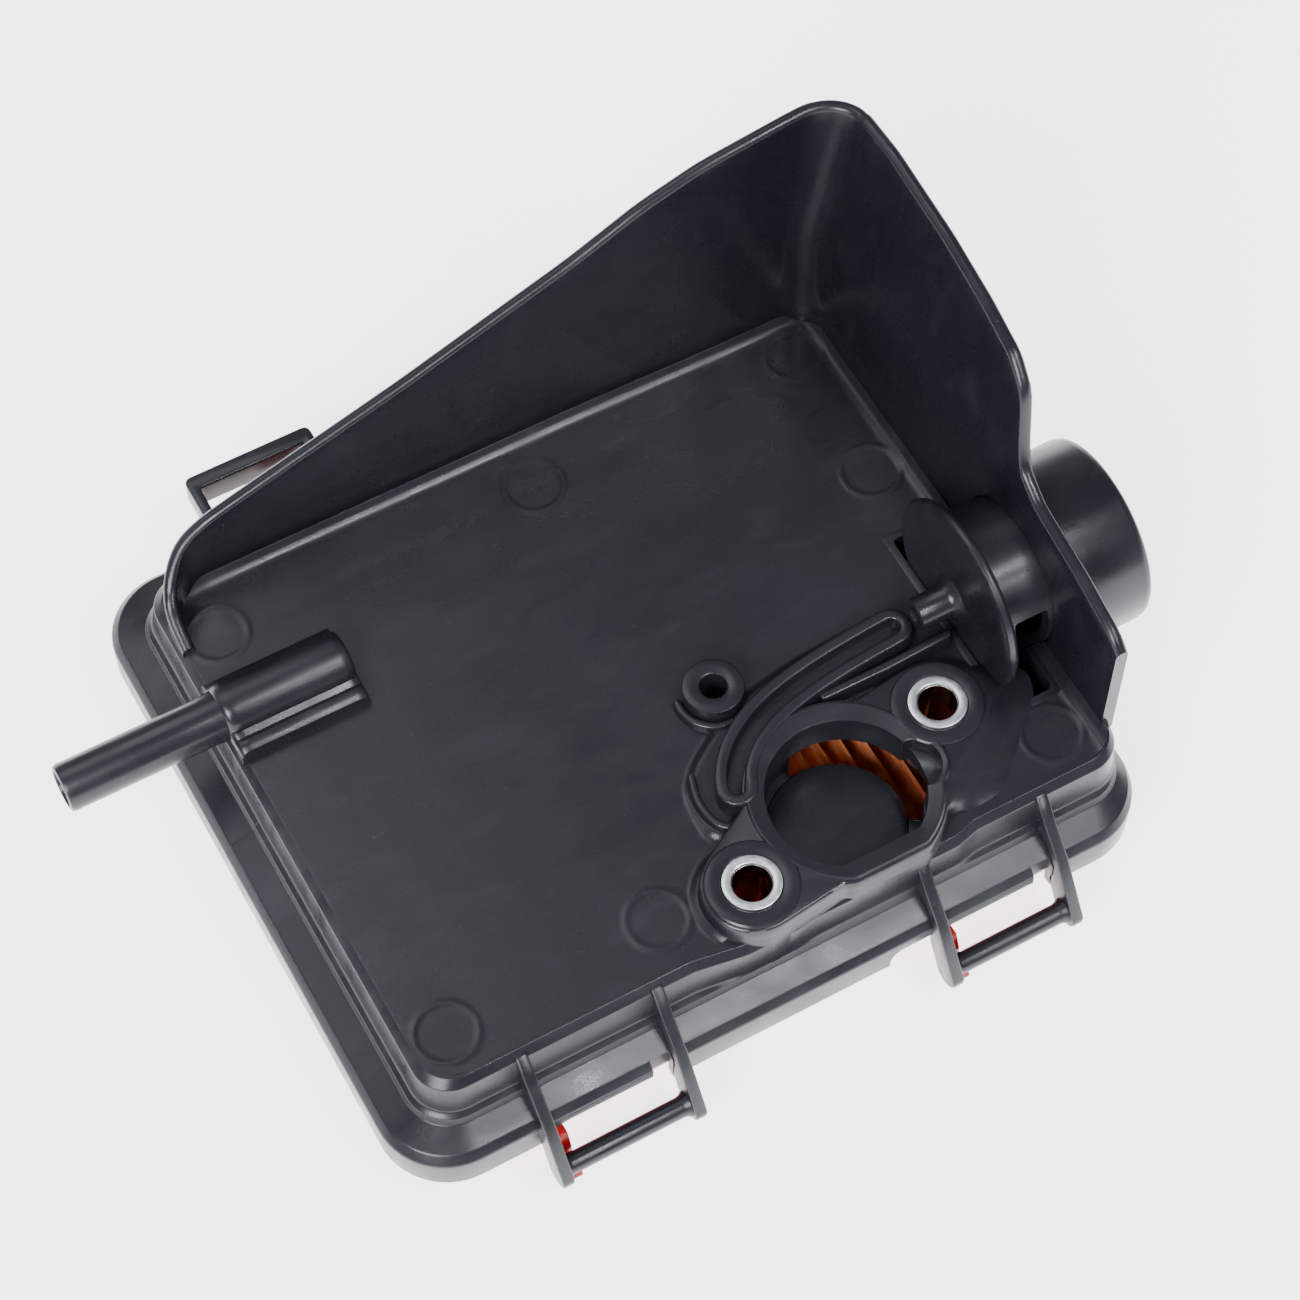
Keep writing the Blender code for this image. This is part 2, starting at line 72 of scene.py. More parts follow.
# %% Datum corner and millimetres
MM = 0.001
TRAY_LOW, TRAY_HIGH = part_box("base_tray")
RIM_LEFT, RIM_FRONT = 7.9, 7.8      # how far the tray's rim stands out past the datum
DATUM = Vector((TRAY_LOW[0] + RIM_LEFT * MM, TRAY_LOW[1] + RIM_FRONT * MM, TRAY_HIGH[2]))
SKIRT_Z = (TRAY_LOW[2] - TRAY_HIGH[2]) / MM


def at(x, y, z):
    """World point of a place given in millimetres from the datum corner."""
    return DATUM + Vector((x, y, z)) * MM


def centre_of(node):
    """Middle of a node's box, in millimetres from the datum corner."""
    low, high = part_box(node)
    return ((Vector(low) + Vector(high)) / 2 - DATUM) / MM


def corners_of(node):
    """Lowest and highest corner of a node's box, in the same millimetres."""
    return [(Vector(corner) - DATUM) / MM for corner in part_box(node)]


print("datum corner at", [round(v, 4) for v in DATUM], "skirt at", round(SKIRT_Z, 2))

# %% [markdown]
# ## Plastics, steel, paper and rubber
# A moulded black nylon is never one flat colour. It has cloudy flow marks a few centimetres
# long, a fine grain from the mould, and pale dust in the corners. All of it is made with noise
# on object coordinates, so nothing is unwrapped and it stays put on the piece. Colour, roughness
# and bump take their detail from the same few noises, as they would on a real surface.

# %% Material helpers
def new_material(name):
    made = bpy.data.materials.new(name)
    made.use_nodes = True
    tree = made.node_tree
    shader = tree.nodes["Principled BSDF"]
    coordinates = tree.nodes.new("ShaderNodeTexCoord")
    return made, tree, shader, coordinates.outputs["Object"]


def noise_on(tree, where, scale, detail=4.0, distortion=0.0, stretch=(1, 1, 1)):
    """A noise of that many cells a metre; stretch makes it longer along an axis."""
    mapping = tree.nodes.new("ShaderNodeMapping")
    mapping.inputs["Scale"].default_value = stretch
    tree.links.new(where, mapping.inputs["Vector"])
    noise = tree.nodes.new("ShaderNodeTexNoise")
    noise.inputs["Scale"].default_value = scale
    noise.inputs["Detail"].default_value = detail
    noise.inputs["Distortion"].default_value = distortion
    tree.links.new(mapping.outputs["Vector"], noise.inputs["Vector"])
    return noise.outputs["Fac"]


print("noise helpers ready")

# %% Ramps, blends and bumps
def ramp_on(tree, value, *stops):
    """Colours or greys at positions along a value."""
    ramp = tree.nodes.new("ShaderNodeValToRGB")
    elements = ramp.color_ramp.elements
    while len(elements) < len(stops):
        elements.new(0.5)
    for element, (position, colour) in zip(elements, stops):
        element.position = position
        element.color = (*colour, 1.0) if len(colour) == 3 else (colour[0],) * 3 + (1.0,)
    tree.links.new(value, ramp.inputs["Fac"])
    return ramp.outputs["Color"]


def blend_on(tree, kind, share, first, second):
    """Mix two colours; share, first and second are sockets or plain values."""
    mix = tree.nodes.new("ShaderNodeMix")
    mix.data_type = "RGBA"
    mix.blend_type = kind
    for socket, value in ((mix.inputs[0], share), (mix.inputs[6], first), (mix.inputs[7], second)):
        if isinstance(value, bpy.types.NodeSocket):
            tree.links.new(value, socket)
        else:
            socket.default_value = value
    return mix.outputs[2]


def ramp_into(tree, shader, name, value, *stops):
    """Let a value set one input of the finish, through a ramp."""
    tree.links.new(ramp_on(tree, value, *stops), shader.inputs[name])


def bump_on(tree, shader, height, strength, distance):
    bump = tree.nodes.new("ShaderNodeBump")
    bump.inputs["Strength"].default_value = strength
    bump.inputs["Distance"].default_value = distance
    tree.links.new(height, bump.inputs["Height"])
    tree.links.new(bump.outputs["Normal"], shader.inputs["Normal"])


print("ramp, blend and bump helpers ready")

# %% Black nylon with flow marks
def moulded_nylon(name, deep, pale, rough_low, rough_high, dust=0.35):
    """Black moulded plastic: cloudy flow marks, mould grain, and a little pale dust."""
    made, tree, shader, where = new_material(name)
    clouds = noise_on(tree, where, 28.0, 5.0, 1.2, (1.0, 0.55, 1.0))
    colour = ramp_on(tree, clouds, (0.3, deep), (0.72, pale))
    specks = noise_on(tree, where, 1500.0, 2.0)
    speck_share = ramp_on(tree, specks, (0.73, (0.0,)), (0.79, (dust,)))
    colour = blend_on(tree, "MIX", speck_share, colour, (0.07, 0.07, 0.075, 1.0))
    smears = noise_on(tree, where, 90.0, 6.0, 0.6, (1.0, 2.2, 1.0))
    smear_share = ramp_on(tree, smears, (0.56, (0.0,)), (0.8, (0.3,)))
    colour = blend_on(tree, "MIX", smear_share, colour, (0.024, 0.025, 0.030, 1.0))
    tree.links.new(colour, shader.inputs["Base Color"])
    ramp_into(tree, shader, "Roughness", smears, (0.3, (rough_low,)), (0.75, (rough_high,)))
    shader.inputs["Specular IOR Level"].default_value = 0.42
    grain = noise_on(tree, where, 4200.0, 3.0)
    bump_on(tree, shader, grain, 0.22, 0.00006)
    return made


NYLON = moulded_nylon("black_nylon_moulding", (0.0072, 0.0074, 0.0105), (0.0135, 0.0138, 0.0180),
                      0.22, 0.40)
# The deflector wall and the primer's cup take a darker copy of this nylon: its darker colours are
# painted shade, and its denser pale specks are dust.
SHADED_WALL_NYLON = moulded_nylon("deflector_nylon_painted_shade", (0.0052, 0.0052, 0.0085), (0.0092, 0.0092, 0.0135),
                           0.21, 0.38, dust=0.5)
print("nylon finishes:", NYLON.name, SHADED_WALL_NYLON.name)

# %% [markdown]
# The other finishes follow the same way. Plated steel is bright and slightly rough. Its bore is
# smoother, and darker in colour, which is painted shade inside the sleeve. The cover's red plastic
# lets light through, as thin coloured plastic does. The seal and the paper have open pores and
# fibres, so they are rough.

# %% Plated steel, and its bore in darker steel with painted shade
def zinc_steel():
    made, tree, shader, where = new_material("zinc_plated_steel")
    turning = noise_on(tree, where, 900.0, 3.0, 0.0, (1.0, 1.0, 6.0))
    ramp_into(tree, shader, "Base Color", turning, (0.3, (0.80, 0.80, 0.79)),
              (0.7, (0.94, 0.94, 0.93)))
    ramp_into(tree, shader, "Roughness", turning, (0.3, (0.26,)), (0.7, (0.42,)))
    shader.inputs["Metallic"].default_value = 1.0
    bump_on(tree, shader, turning, 0.15, 0.00004)
    return made


def bore_steel():
    """The inside of a sleeve: smoother than the plated outside, and darker, as painted shade."""
    made, tree, shader, where = new_material("bore_steel_painted_shade")
    drill = noise_on(tree, where, 700.0, 3.0, 0.0, (0.4, 0.4, 5.0))
    # the darker steel colours paint the shade inside the bore
    ramp_into(tree, shader, "Base Color", drill, (0.3, (0.26, 0.24, 0.23)),
              (0.7, (0.42, 0.40, 0.38)))
    ramp_into(tree, shader, "Roughness", drill, (0.3, (0.12,)), (0.7, (0.20,)))
    shader.inputs["Metallic"].default_value = 1.0
    bump_on(tree, shader, drill, 0.1, 0.00003)
    return made


STEEL, BORE = zinc_steel(), bore_steel()
print("steel finishes:", STEEL.name, BORE.name)


# %% Red plastic and rubber
def red_plastic():
    """Red plastic that light from the table shines through."""
    made, tree, shader, where = new_material("red_cover_moulding")
    clouds = noise_on(tree, where, 35.0, 4.0, 0.8)
    ramp_into(tree, shader, "Base Color", clouds, (0.3, (0.38, 0.005, 0.004)),
              (0.7, (0.50, 0.009, 0.007)))
    ramp_into(tree, shader, "Roughness", clouds, (0.3, (0.24,)), (0.7, (0.36,)))
    bump_on(tree, shader, noise_on(tree, where, 3200.0, 3.0), 0.18, 0.00005)
    shader.inputs["Transmission Weight"].default_value = 0.4
    shader.inputs["IOR"].default_value = 1.45
    return made


def soft_rubber():
    made, tree, shader, where = new_material("black_bulb_rubber")
    bloom = noise_on(tree, where, 220.0, 4.0)
    ramp_into(tree, shader, "Base Color", bloom, (0.35, (0.012, 0.012, 0.013)),
              (0.75, (0.03, 0.03, 0.032)))
    ramp_into(tree, shader, "Roughness", bloom, (0.3, (0.5,)), (0.7, (0.68,)))
    bump_on(tree, shader, noise_on(tree, where, 2600.0, 3.0), 0.25, 0.00006)
    return made


RED, RUBBER = red_plastic(), soft_rubber()
print("cover and bulb finishes:", RED.name, RUBBER.name)


# %% Seal foam and filter paper
def orange_seal():
    made, tree, shader, where = new_material("orange_seal_foam")
    pores = noise_on(tree, where, 1900.0, 4.0)
    ramp_into(tree, shader, "Base Color", pores, (0.3, (0.50, 0.05, 0.012)),
              (0.7, (0.72, 0.10, 0.02)))
    shader.inputs["Roughness"].default_value = 0.62
    bump_on(tree, shader, pores, 0.4, 0.0001)
    return made


def filter_paper():
    """Oiled paper: long fibres, darker where the oil has pooled."""
    made, tree, shader, where = new_material("oiled_filter_paper")
    fibres = noise_on(tree, where, 1200.0, 6.0, 0.4, (1.0, 0.18, 1.0))
    oil = noise_on(tree, where, 110.0, 4.0)
    colour = ramp_on(tree, fibres, (0.3, (0.74, 0.15, 0.03)), (0.7, (0.95, 0.42, 0.16)))
    stain = ramp_on(tree, oil, (0.46, (0.0,)), (0.68, (0.7,)))
    tree.links.new(blend_on(tree, "MIX", stain, colour, (0.34, 0.015, 0.010, 1.0)),
                   shader.inputs["Base Color"])
    shader.inputs["Roughness"].default_value = 0.75
    shader.inputs["Transmission Weight"].default_value = 0.35
    bump_on(tree, shader, fibres, 0.5, 0.0001)
    return made


SEAL, PAPER = orange_seal(), filter_paper()
print("filter finishes:", SEAL.name, PAPER.name)

# %% [markdown]
# ## Ways to make a piece
# Four ways are enough for this object: a grid of points that is closed into a solid, a
# turned profile, a flat outline made thick, and a plain block. Each piece ends in `keep`, which
# gives it its finish, hangs it on the body it rides on, and hides the imported solids that it
# stands for.

# %% Keeping a piece
KEPT = []


def to_object(name, mesh):
    made = bpy.data.objects.new(name, mesh)
    bpy.context.scene.collection.objects.link(made)
    return made


def shade(mesh, angle=38.0):
    mesh.shade_smooth()
    mesh.set_sharp_from_angle(angle=radians(angle))


def keep(piece, finish, slot, body, *nodes, angle=38.0):
    """Finish a piece and tie it to the frame."""
    piece.data.materials.clear()
    piece.data.materials.append(finish)
    shade(piece.data, angle)
    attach(piece, body)
    if nodes:
        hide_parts(*nodes)
    KEPT.append(piece)
    print(f"{piece.name}: {len(piece.data.polygons)} faces, rides on {body}")
    return piece


def solid_from(bm, name):
    """Turn a closed bmesh into an object with its faces pointing out."""
    bmesh.ops.remove_doubles(bm, verts=bm.verts, dist=1e-6)
    bmesh.ops.dissolve_degenerate(bm, edges=bm.edges, dist=1e-7)
    bmesh.ops.recalc_face_normals(bm, faces=bm.faces)
    mesh = bpy.data.meshes.new(name)
    bm.to_mesh(mesh)
    bm.free()
    return to_object(name, mesh)


print("pieces kept so far:", len(KEPT))

# %% Lofts and turned pieces
def tube_of(name, rings, closed_rings=True, cap=False, closed_path=False):
    """Join rings of the same number of millimetre points into one surface."""
    count = len(rings[0])
    verts = [at(*p) for ring in rings for p in ring]
    faces = []
    last_ring = len(rings) if closed_path else len(rings) - 1
    for i in range(last_ring):
        a, b = i * count, ((i + 1) % len(rings)) * count
        for j in range(count if closed_rings else count - 1):
            k = (j + 1) % count
            faces.append((a + j, a + k, b + k, b + j))
    if cap:
        faces.append(tuple(range(count))[::-1])
        faces.append(tuple(range((len(rings) - 1) * count, len(rings) * count)))
    mesh = bpy.data.meshes.new(name)
    mesh.from_pydata(verts, [], faces)
    bm = bmesh.new()
    bm.from_mesh(mesh)
    bpy.data.meshes.remove(mesh)
    return solid_from(bm, name)


def turned(name, profile, axis_point, along, steps=64):
    """Turn (distance along, radius) points about an axis along X or Z through a point."""
    cx, cy, cz = axis_point
    rings = []
    for i in range(steps):
        a = 2 * pi * i / steps
        ring = []
        for run, radius in profile:
            if along == "X":
                ring.append((cx + run, cy + radius * cos(a), cz + radius * sin(a)))
            else:
                ring.append((cx + radius * cos(a), cy + radius * sin(a), cz + run))
        rings.append(ring)
    open_profile = profile[0][1] < 1e-6 and profile[-1][1] < 1e-6
    return tube_of(name, rings, closed_rings=not open_profile, closed_path=True)


print("lofts and turning ready")

# %% Arcs and rounded corners
def arc(cx, cy, radius, start, end, steps):
    angles = [radians(start + (end - start) * i / steps) for i in range(steps + 1)]
    return [(cx + radius * cos(a), cy + radius * sin(a)) for a in angles]


def corner_arcs(x0, y0, x1, y1, radius, steps):
    """Quarter circles at the corners of a rectangle, from the right back one round by the left."""
    return [arc(cx, cy, radius, start, start + 90, steps) for cx, cy, start in (
        (x1 - radius, y1 - radius, 0), (x0 + radius, y1 - radius, 90),
        (x0 + radius, y0 + radius, 180), (x1 - radius, y0 + radius, 270))]


def rounded(points, closed=True, steps=4):
    """Replace each (u, v, radius) corner of an outline with a small arc."""
    outline = []
    total = len(points)
    for i, (u, v, radius) in enumerate(points):
        here = Vector((u, v))
        ends = (i == 0 or i == total - 1) and not closed
        if radius <= 0 or ends:
            outline.append((u, v))
            continue
        before = Vector(points[i - 1][:2]) - here
        after = Vector(points[(i + 1) % total][:2]) - here
        half = before.angle(after) / 2
        reach = radius / np.tan(half) if half > 0.01 else 0.0
        reach = min(reach, before.length * 0.49, after.length * 0.49)
        first, last = here + before.normalized() * reach, here + after.normalized() * reach
        for j in range(steps + 1):
            t = j / steps
            point = first * (1 - t) ** 2 + here * 2 * t * (1 - t) + last * t ** 2
            outline.append((point.x, point.y))
    return outline


print("outline helpers ready")

# %% Thick outlines, blocks and cutting
def round_sharp(bm, edge, segments):
    """Round every edge whose faces meet at more than 40 degrees."""
    sharp = [e for e in bm.edges if len(e.link_faces) == 2
             and e.calc_face_angle() > radians(40)]
    bmesh.ops.bevel(bm, geom=sharp, offset=edge * MM, segments=segments, profile=0.5,
                    affect="EDGES", clamp_overlap=True)


def slab(name, outline, low, high, along="Z", edge=0.0, segments=2):
    """An outline made thick along Z, X or Y, with its edges rounded by `edge`."""
    bm = bmesh.new()
    corners = {"Z": lambda u, v, w: at(u, v, w), "X": lambda u, v, w: at(w, u, v),
               "Y": lambda u, v, w: at(u, w, v)}[along]
    rim = [bm.verts.new(corners(u, v, low)) for u, v in outline]
    face = bm.faces.new(rim)
    lifted = bmesh.ops.extrude_face_region(bm, geom=[face])
    shift = corners(0, 0, high) - corners(0, 0, low)
    bmesh.ops.translate(bm, vec=shift, verts=[v for v in lifted["geom"]
                                              if isinstance(v, bmesh.types.BMVert)])
    bmesh.ops.recalc_face_normals(bm, faces=bm.faces)
    if edge:
        round_sharp(bm, edge, segments)
    return solid_from(bm, name)


def block(name, low, high, edge=0.0, segments=2):
    (x0, y0, z0), (x1, y1, z1) = low, high
    return slab(name, [(x0, y0), (x1, y0), (x1, y1), (x0, y1)], z0, z1, "Z", edge, segments)


def baked(piece):
    """The same piece with its evaluated shape as a plain mesh, and no modifier."""
    bpy.context.view_layer.update()
    mesh = bpy.data.meshes.new_from_object(
        piece.evaluated_get(bpy.context.evaluated_depsgraph_get()))
    piece.modifiers.clear()
    old, piece.data = piece.data, mesh
    bpy.data.meshes.remove(old)
    return piece


def carve(piece, *cutters):
    """Cut shapes from a piece, one after the other."""
    for cutter in cutters:
        step = piece.modifiers.new("cut", "BOOLEAN")
        step.operation = "DIFFERENCE"
        step.solver = "EXACT"
        step.object = cutter
        baked(piece)
        bpy.data.objects.remove(cutter)
    return piece


def rod_cutter(centre, radius, low, high, along="Z", steps=64):
    return turned("cutter", [(low, 0.0), (low, radius), (high, radius), (high, 0.0)],
                  centre, along, steps)


print("thick outlines and cutting ready")

# %% [markdown]
# ## The tray
# The tray is one shell. From the plate it goes over a narrow bevelled band, down a steep
# shoulder, over a thin bead, out along the flange and down the skirt. That section is drawn
# once, as a polyline whose corners are rounded, and carried round the four sides. The left and
# front flanges are wide, the one under the primer is narrow, so each side has its own reach.

# %% Bolts, throat and the tray's section
LOWER_BOLT = centre_of("lower_bolt_sleeve").xy
UPPER_BOLT = centre_of("upper_bolt_sleeve").xy
THROAT = (LOWER_BOLT + UPPER_BOLT) / 2
REACH = (-1.0, 0.4, 1.6, 3.2, 7.2, 7.9)       # distance out from the plate's edge
RIGHT_X = (120.8, 121.6, 122.0, 122.6, 124.0, 124.4)
BACK_Y = (99.5, 100.6, 102.0, 103.4, 108.4, 109.0)
CORNER_R = (5.0, 6.0, 6.5, 8.0, 11.0, 11.5)

TRAY_SECTION = rounded([
    (-1.0, 0.0, 0), (-0.55, 0.0, 0.3), (0.75, -1.25, 0.45), (1.45, -7.0, 0.9),
    (2.35, -7.7, 0.35), (2.75, -8.9, 0.4), (6.7, -10.5, 0.9), (7.9, -11.9, 0.9),
    (7.9, SKIRT_Z, 0.5), (6.1, SKIRT_Z, 0.4), (5.9, -12.9, 0.8), (2.2, -10.8, 0.8),
    (-0.4, -8.6, 0.8), (-1.0, -2.0, 0.0)], closed=False, steps=5)


print("section has", len(TRAY_SECTION), "points")

# %% One ring of the tray
MOULD_STEP_Y = 57.0      # the left flange has a fine step where two mould parts met


def tray_ring(reach, z, corner_steps=14):
    """One ring of the tray, that far out from the plate's edge."""
    x0, y0 = -reach, -reach * RIM_FRONT / RIM_LEFT
    x1, y1 = np.interp(reach, REACH, RIGHT_X), np.interp(reach, REACH, BACK_Y)
    corners = corner_arcs(x0, y0, x1, y1, np.interp(reach, REACH, CORNER_R), corner_steps)
    left = [(x0, MOULD_STEP_Y + 0.25), (x0, MOULD_STEP_Y)]
    front = [(x, y0) for x in np.linspace(38, 94, 57)]
    ring = []
    for x, y in corners[0] + corners[1] + left + corners[2] + front + corners[3]:
        lift = 0.3 if x < 4 and y > MOULD_STEP_Y + 0.1 and -12.5 < z < -1.5 else 0.0
        if y < 0.99 and 30 < x < 100:
            swell = np.interp(x, (44, 52.5, 61, 64.5, 90, 94), (0, 1.45, 1.45, 1.0, 1.0, 0))
            y -= swell * np.interp(reach, (-1.0, -0.5, 0.8, 2.3), (0, 1, 1, 0))
        ring.append((x, y, z + lift))
    return ring


print("ring has", len(tray_ring(0.0, 0.0)), "points")

# %% Build the tray and cut its lower edge
LUG_X = [centre_of(f"hinge_lug_{n}").x for n in (1, 2, 3, 4)]
RELIEF_TOP, RECESS_TOP, RECESS_BACK_Y, BELOW_ALL = -13.8, -9.1, -6.5, -30.0
tray = tube_of("moulded_tray_rim", [tray_ring(reach, z) for reach, z in TRAY_SECTION],
               closed_path=True)
reliefs = []
for first, last in ((LUG_X[0] + 1, LUG_X[1] - 1), (LUG_X[2] - 8.5, LUG_X[3] - 1)):
    outline = rounded([(first, BELOW_ALL, 0), (last, BELOW_ALL, 0), (last, RELIEF_TOP, 1.2),
                       (first, RELIEF_TOP, 3.0)])
    reliefs.append(slab("cutter", outline, -12, -3.2, "Y"))
for last in (LUG_X[1], LUG_X[3]):       # recesses that keep the skirt thin beside the lugs
    outline = rounded([(last - 4.6, BELOW_ALL, 0), (last - 1.2, BELOW_ALL, 0),
                       (last - 1.2, RECESS_TOP, 0.3), (last - 4.6, RECESS_TOP, 1.4)])
    reliefs.append(slab("cutter", outline, -9.4, RECESS_BACK_Y, "Y"))
BARREL_AXIS = centre_of("primer_cup")


def barrel_hole():
    """Cutter that makes room for the primer's barrel."""
    return rod_cutter((0, BARREL_AXIS.y, BARREL_AXIS.z), 12.7, 113, 126, "X")


carve(tray, *reliefs, barrel_hole())
keep(tray, NYLON, "black_nylon", "base", "base_tray", angle=32)

# %% [markdown]
# ## The plate's surface
# Everything low that stands on the plate was cut into one mould half: the primer's groove and
# its ridges, the screw boss, the marks of the ejector pins and the soft fillet at the foot of
# the wall. A height field is the natural way to make such a surface. Each feature is a function
# of the distance to a point or a path, and a smooth step between two heights gives it the
# rounded edges of a moulding.

# %% Distances and smooth steps
def smooth(value, low, high):
    t = np.clip((value - low) / (high - low), 0.0, 1.0)
    return t * t * (3 - 2 * t)


def to_point(x, y, centre):
    return np.hypot(x - centre[0], y - centre[1])


def to_path(x, y, path):
    """Distance to a polyline, and how far along it the nearest point is, in millimetres."""
    best, along, run = np.full(x.shape, 1e9), np.zeros(x.shape), 0.0
    for (ax, ay), (bx, by) in zip(path, path[1:]):
        dx, dy = bx - ax, by - ay
        length = np.hypot(dx, dy)
        t = np.clip(((x - ax) * dx + (y - ay) * dy) / length ** 2, 0, 1)
        d = np.hypot(x - ax - t * dx, y - ay - t * dy)
        nearer = d < best
        best, along = np.where(nearer, d, best), np.where(nearer, run + t * length, along)
        run += length
    return best, along


def plateau(distance, reach, height, edge=0.5):
    """A raised area: full height inside the reach, plate level outside it."""
    return height * (1 - smooth(distance, reach - edge, reach + edge))


print("distance helpers ready")

# %% Smooth paths and ridges along them
def softened(path, rounds=3, closed=False):
    """Cut the corners of a path again and again until it is a smooth curve."""
    for _ in range(rounds):
        pairs = list(zip(path, path[1:] + path[:1] if closed else path[1:]))
        cut = [p for a, b in pairs
               for p in ((0.75 * a[0] + 0.25 * b[0], 0.75 * a[1] + 0.25 * b[1]),
                         (0.25 * a[0] + 0.75 * b[0], 0.25 * a[1] + 0.75 * b[1]))]
        path = cut if closed else [path[0]] + cut + [path[-1]]
    return path


def normals_of(path, closed=False):
    """Unit directions square to a path at each of its points."""
    points = np.array(path)
    if closed:
        run = np.roll(points, -1, axis=0) - np.roll(points, 1, axis=0)
    else:
        run = np.gradient(points, axis=0)
    run /= np.hypot(run[:, 0], run[:, 1])[:, None]
    return np.stack([-run[:, 1], run[:, 0]], axis=1)


def ridge(name, path, width, top, closed=False, foot=-0.5):
    """A moulded ridge with rounded edges along a path; open ends are round in plan."""
    half = width / 2
    section = [(-half - 0.22, foot), (-half, top - 0.42), (-half + 0.1, top - 0.14),
               (-half + 0.34, top), (half - 0.34, top), (half - 0.1, top - 0.14),
               (half, top - 0.42), (half + 0.22, foot)]
    sides = normals_of(path, closed)
    stations = [(p, n, 1.0, 0.0) for p, n in zip(path, sides)]
    if not closed:
        turns = [radians(a) for a in (90, 65, 40, 20)]
        stations = ([(path[0], sides[0], cos(a), -half * sin(a)) for a in turns] + stations
                    + [(path[-1], sides[-1], cos(a), half * sin(a)) for a in turns[::-1]])
    rings = []
    for (x, y), (nx, ny), share, push in stations:
        rings.append([(x + nx * across * share + ny * push, y + ny * across * share - nx * push, z)
                      for across, z in section])
    return tube_of(name, rings, closed_path=closed)


print("ridge helper ready")

# %% Features of the plate
PIN_R = 4.7
PIN_MARKS = ((6.3, 87.0), (63.5, 87.6), (6.4, 8.0), (43.0, 9.1), (113.0, 63.6), (113.6, 89.6),
             (112.6, 7.6))
SCREW_BOSS = centre_of("screw_boss").xy
CHANNEL = softened([(63.8, 21.4), (64.6, 23.4), (66.4, 25.8), (69.0, 28.1), (72.4, 30.1),
                    (76.1, 31.5), (80.4, 32.6), (86.0, 33.5), (93.0, 34.2), (99.3, 34.6)], 2)
PAD = softened([(59.4, 18.8), (59.6, 24.4), (62.0, 27.4), (66.0, 30.0), (72.0, 33.4), (80.0, 35.2),
                (92.0, 36.2), (100.5, 35.4)], 2)
NIPPLE = centre_of("primer_nipple")
POCKET_LOW, POCKET_HIGH = corners_of("primer_pocket")
WALL_X, WALL_Y = 119.6, 96.5       # inner faces of the deflector wall
FILLET = 2.6                       # radius of the hollow at the wall's foot


def plate_height(x, y):
    """Height of the plate's surface, in millimetres above the datum."""
    z = np.zeros(x.shape)
    for mark in PIN_MARKS:
        d = to_point(x, y, mark)
        z -= 0.22 * (1 - smooth(d, PIN_R - 0.45, PIN_R))
        z += 0.16 * np.exp(-((d - PIN_R - 0.2) / 0.35) ** 2)
    # low pad that carries the primer's groove, and the groove's floor
    d, _ = to_path(x, y, PAD)
    z = np.maximum(z, plateau(d, 2.6, 0.9, 0.8))
    d, _ = to_path(x, y, CHANNEL)
    z = np.maximum(z, plateau(d, 2.2, 1.6, 0.4))
    # soft ramps up to the bolt bosses and to the primer's side of the land
    z = np.maximum(z, plateau(to_point(x, y, UPPER_BOLT), 9.4, 1.3, 1.6))
    z = np.maximum(z, plateau(to_point(x, y, LOWER_BOLT), 8.9, 0.8, 0.7))
    to_wall = np.minimum(WALL_X - x, WALL_Y - y)
    curve = np.clip(FILLET - to_wall, 0, FILLET)
    z += FILLET - np.sqrt(FILLET ** 2 - curve ** 2 * 0.96)
    band = smooth(y, 84.0 + 0.05 * x, 95.5) * smooth(x, 3.0, 9.0) * (1 - smooth(x, 70, 108))
    return z + 0.9 * band


print("pin marks:", len(PIN_MARKS), "throat at", [round(v, 2) for v in THROAT])

# %% Build the plate's surface
def plate_surface(step=0.45, low=1.0, back=99.5, right=120.8, radius=5.0, thickness=2.0):
    """A closed sheet whose top follows plate_height inside a rounded rectangle."""
    rows = int((back - low) / step)
    columns = int((right - low) / step)
    ys = np.linspace(low, back, rows + 1)
    inset = np.maximum(0.0, np.maximum(low + radius - ys, ys - (back - radius)))
    inset = radius - np.sqrt(np.maximum(radius ** 2 - inset ** 2, 0.0))
    t = np.linspace(0.0, 1.0, columns + 1)
    x = (low + inset)[:, None] + (right - low - 2 * inset)[:, None] * t[None, :]
    y = np.repeat(ys[:, None], columns + 1, axis=1)
    z = plate_height(x, y)
    top = np.stack([x, y, z], axis=-1).reshape(-1, 3)
    index = np.arange((rows + 1) * (columns + 1)).reshape(rows + 1, columns + 1)
    quads = np.stack([index[:-1, :-1], index[:-1, 1:], index[1:, 1:], index[1:, :-1]], -1)
    edge = np.concatenate([index[0, :-1], index[:-1, -1], index[-1, :0:-1], index[:0:-1, 0]])
    lower = top[edge].copy()
    lower[:, 2] = -thickness
    start = len(top)
    verts = np.concatenate([top, lower]) * MM + np.array(DATUM)
    faces = quads.reshape(-1, 4).tolist()
    count = len(edge)
    for i in range(count):
        j = (i + 1) % count
        faces.append((int(edge[i]), start + i, start + j, int(edge[j])))
    faces.append(tuple(range(start + count - 1, start - 1, -1)))
    mesh = bpy.data.meshes.new("plate_surface")
    mesh.from_pydata(verts.tolist(), [], faces)
    mesh.update()
    return to_object("plate_surface", mesh)


plate = plate_surface()
pocket = block("cutter", (POCKET_LOW.x + 0.4, POCKET_LOW.y + 0.4, -9),
               (POCKET_HIGH.x - 0.4, POCKET_HIGH.y - 0.4, 9))
bolt_holes = [rod_cutter((*bolt, 0), 5.0, -9, 9) for bolt in (LOWER_BOLT, UPPER_BOLT)]
throat_hole = rod_cutter((*THROAT, 0), 13.6, -9, 9)
carve(plate, pocket, throat_hole, *bolt_holes, rod_cutter((*SCREW_BOSS, 0), 2.6, -9, 9),
      barrel_hole())
keep(plate, NYLON, "black_nylon", "base", angle=50)

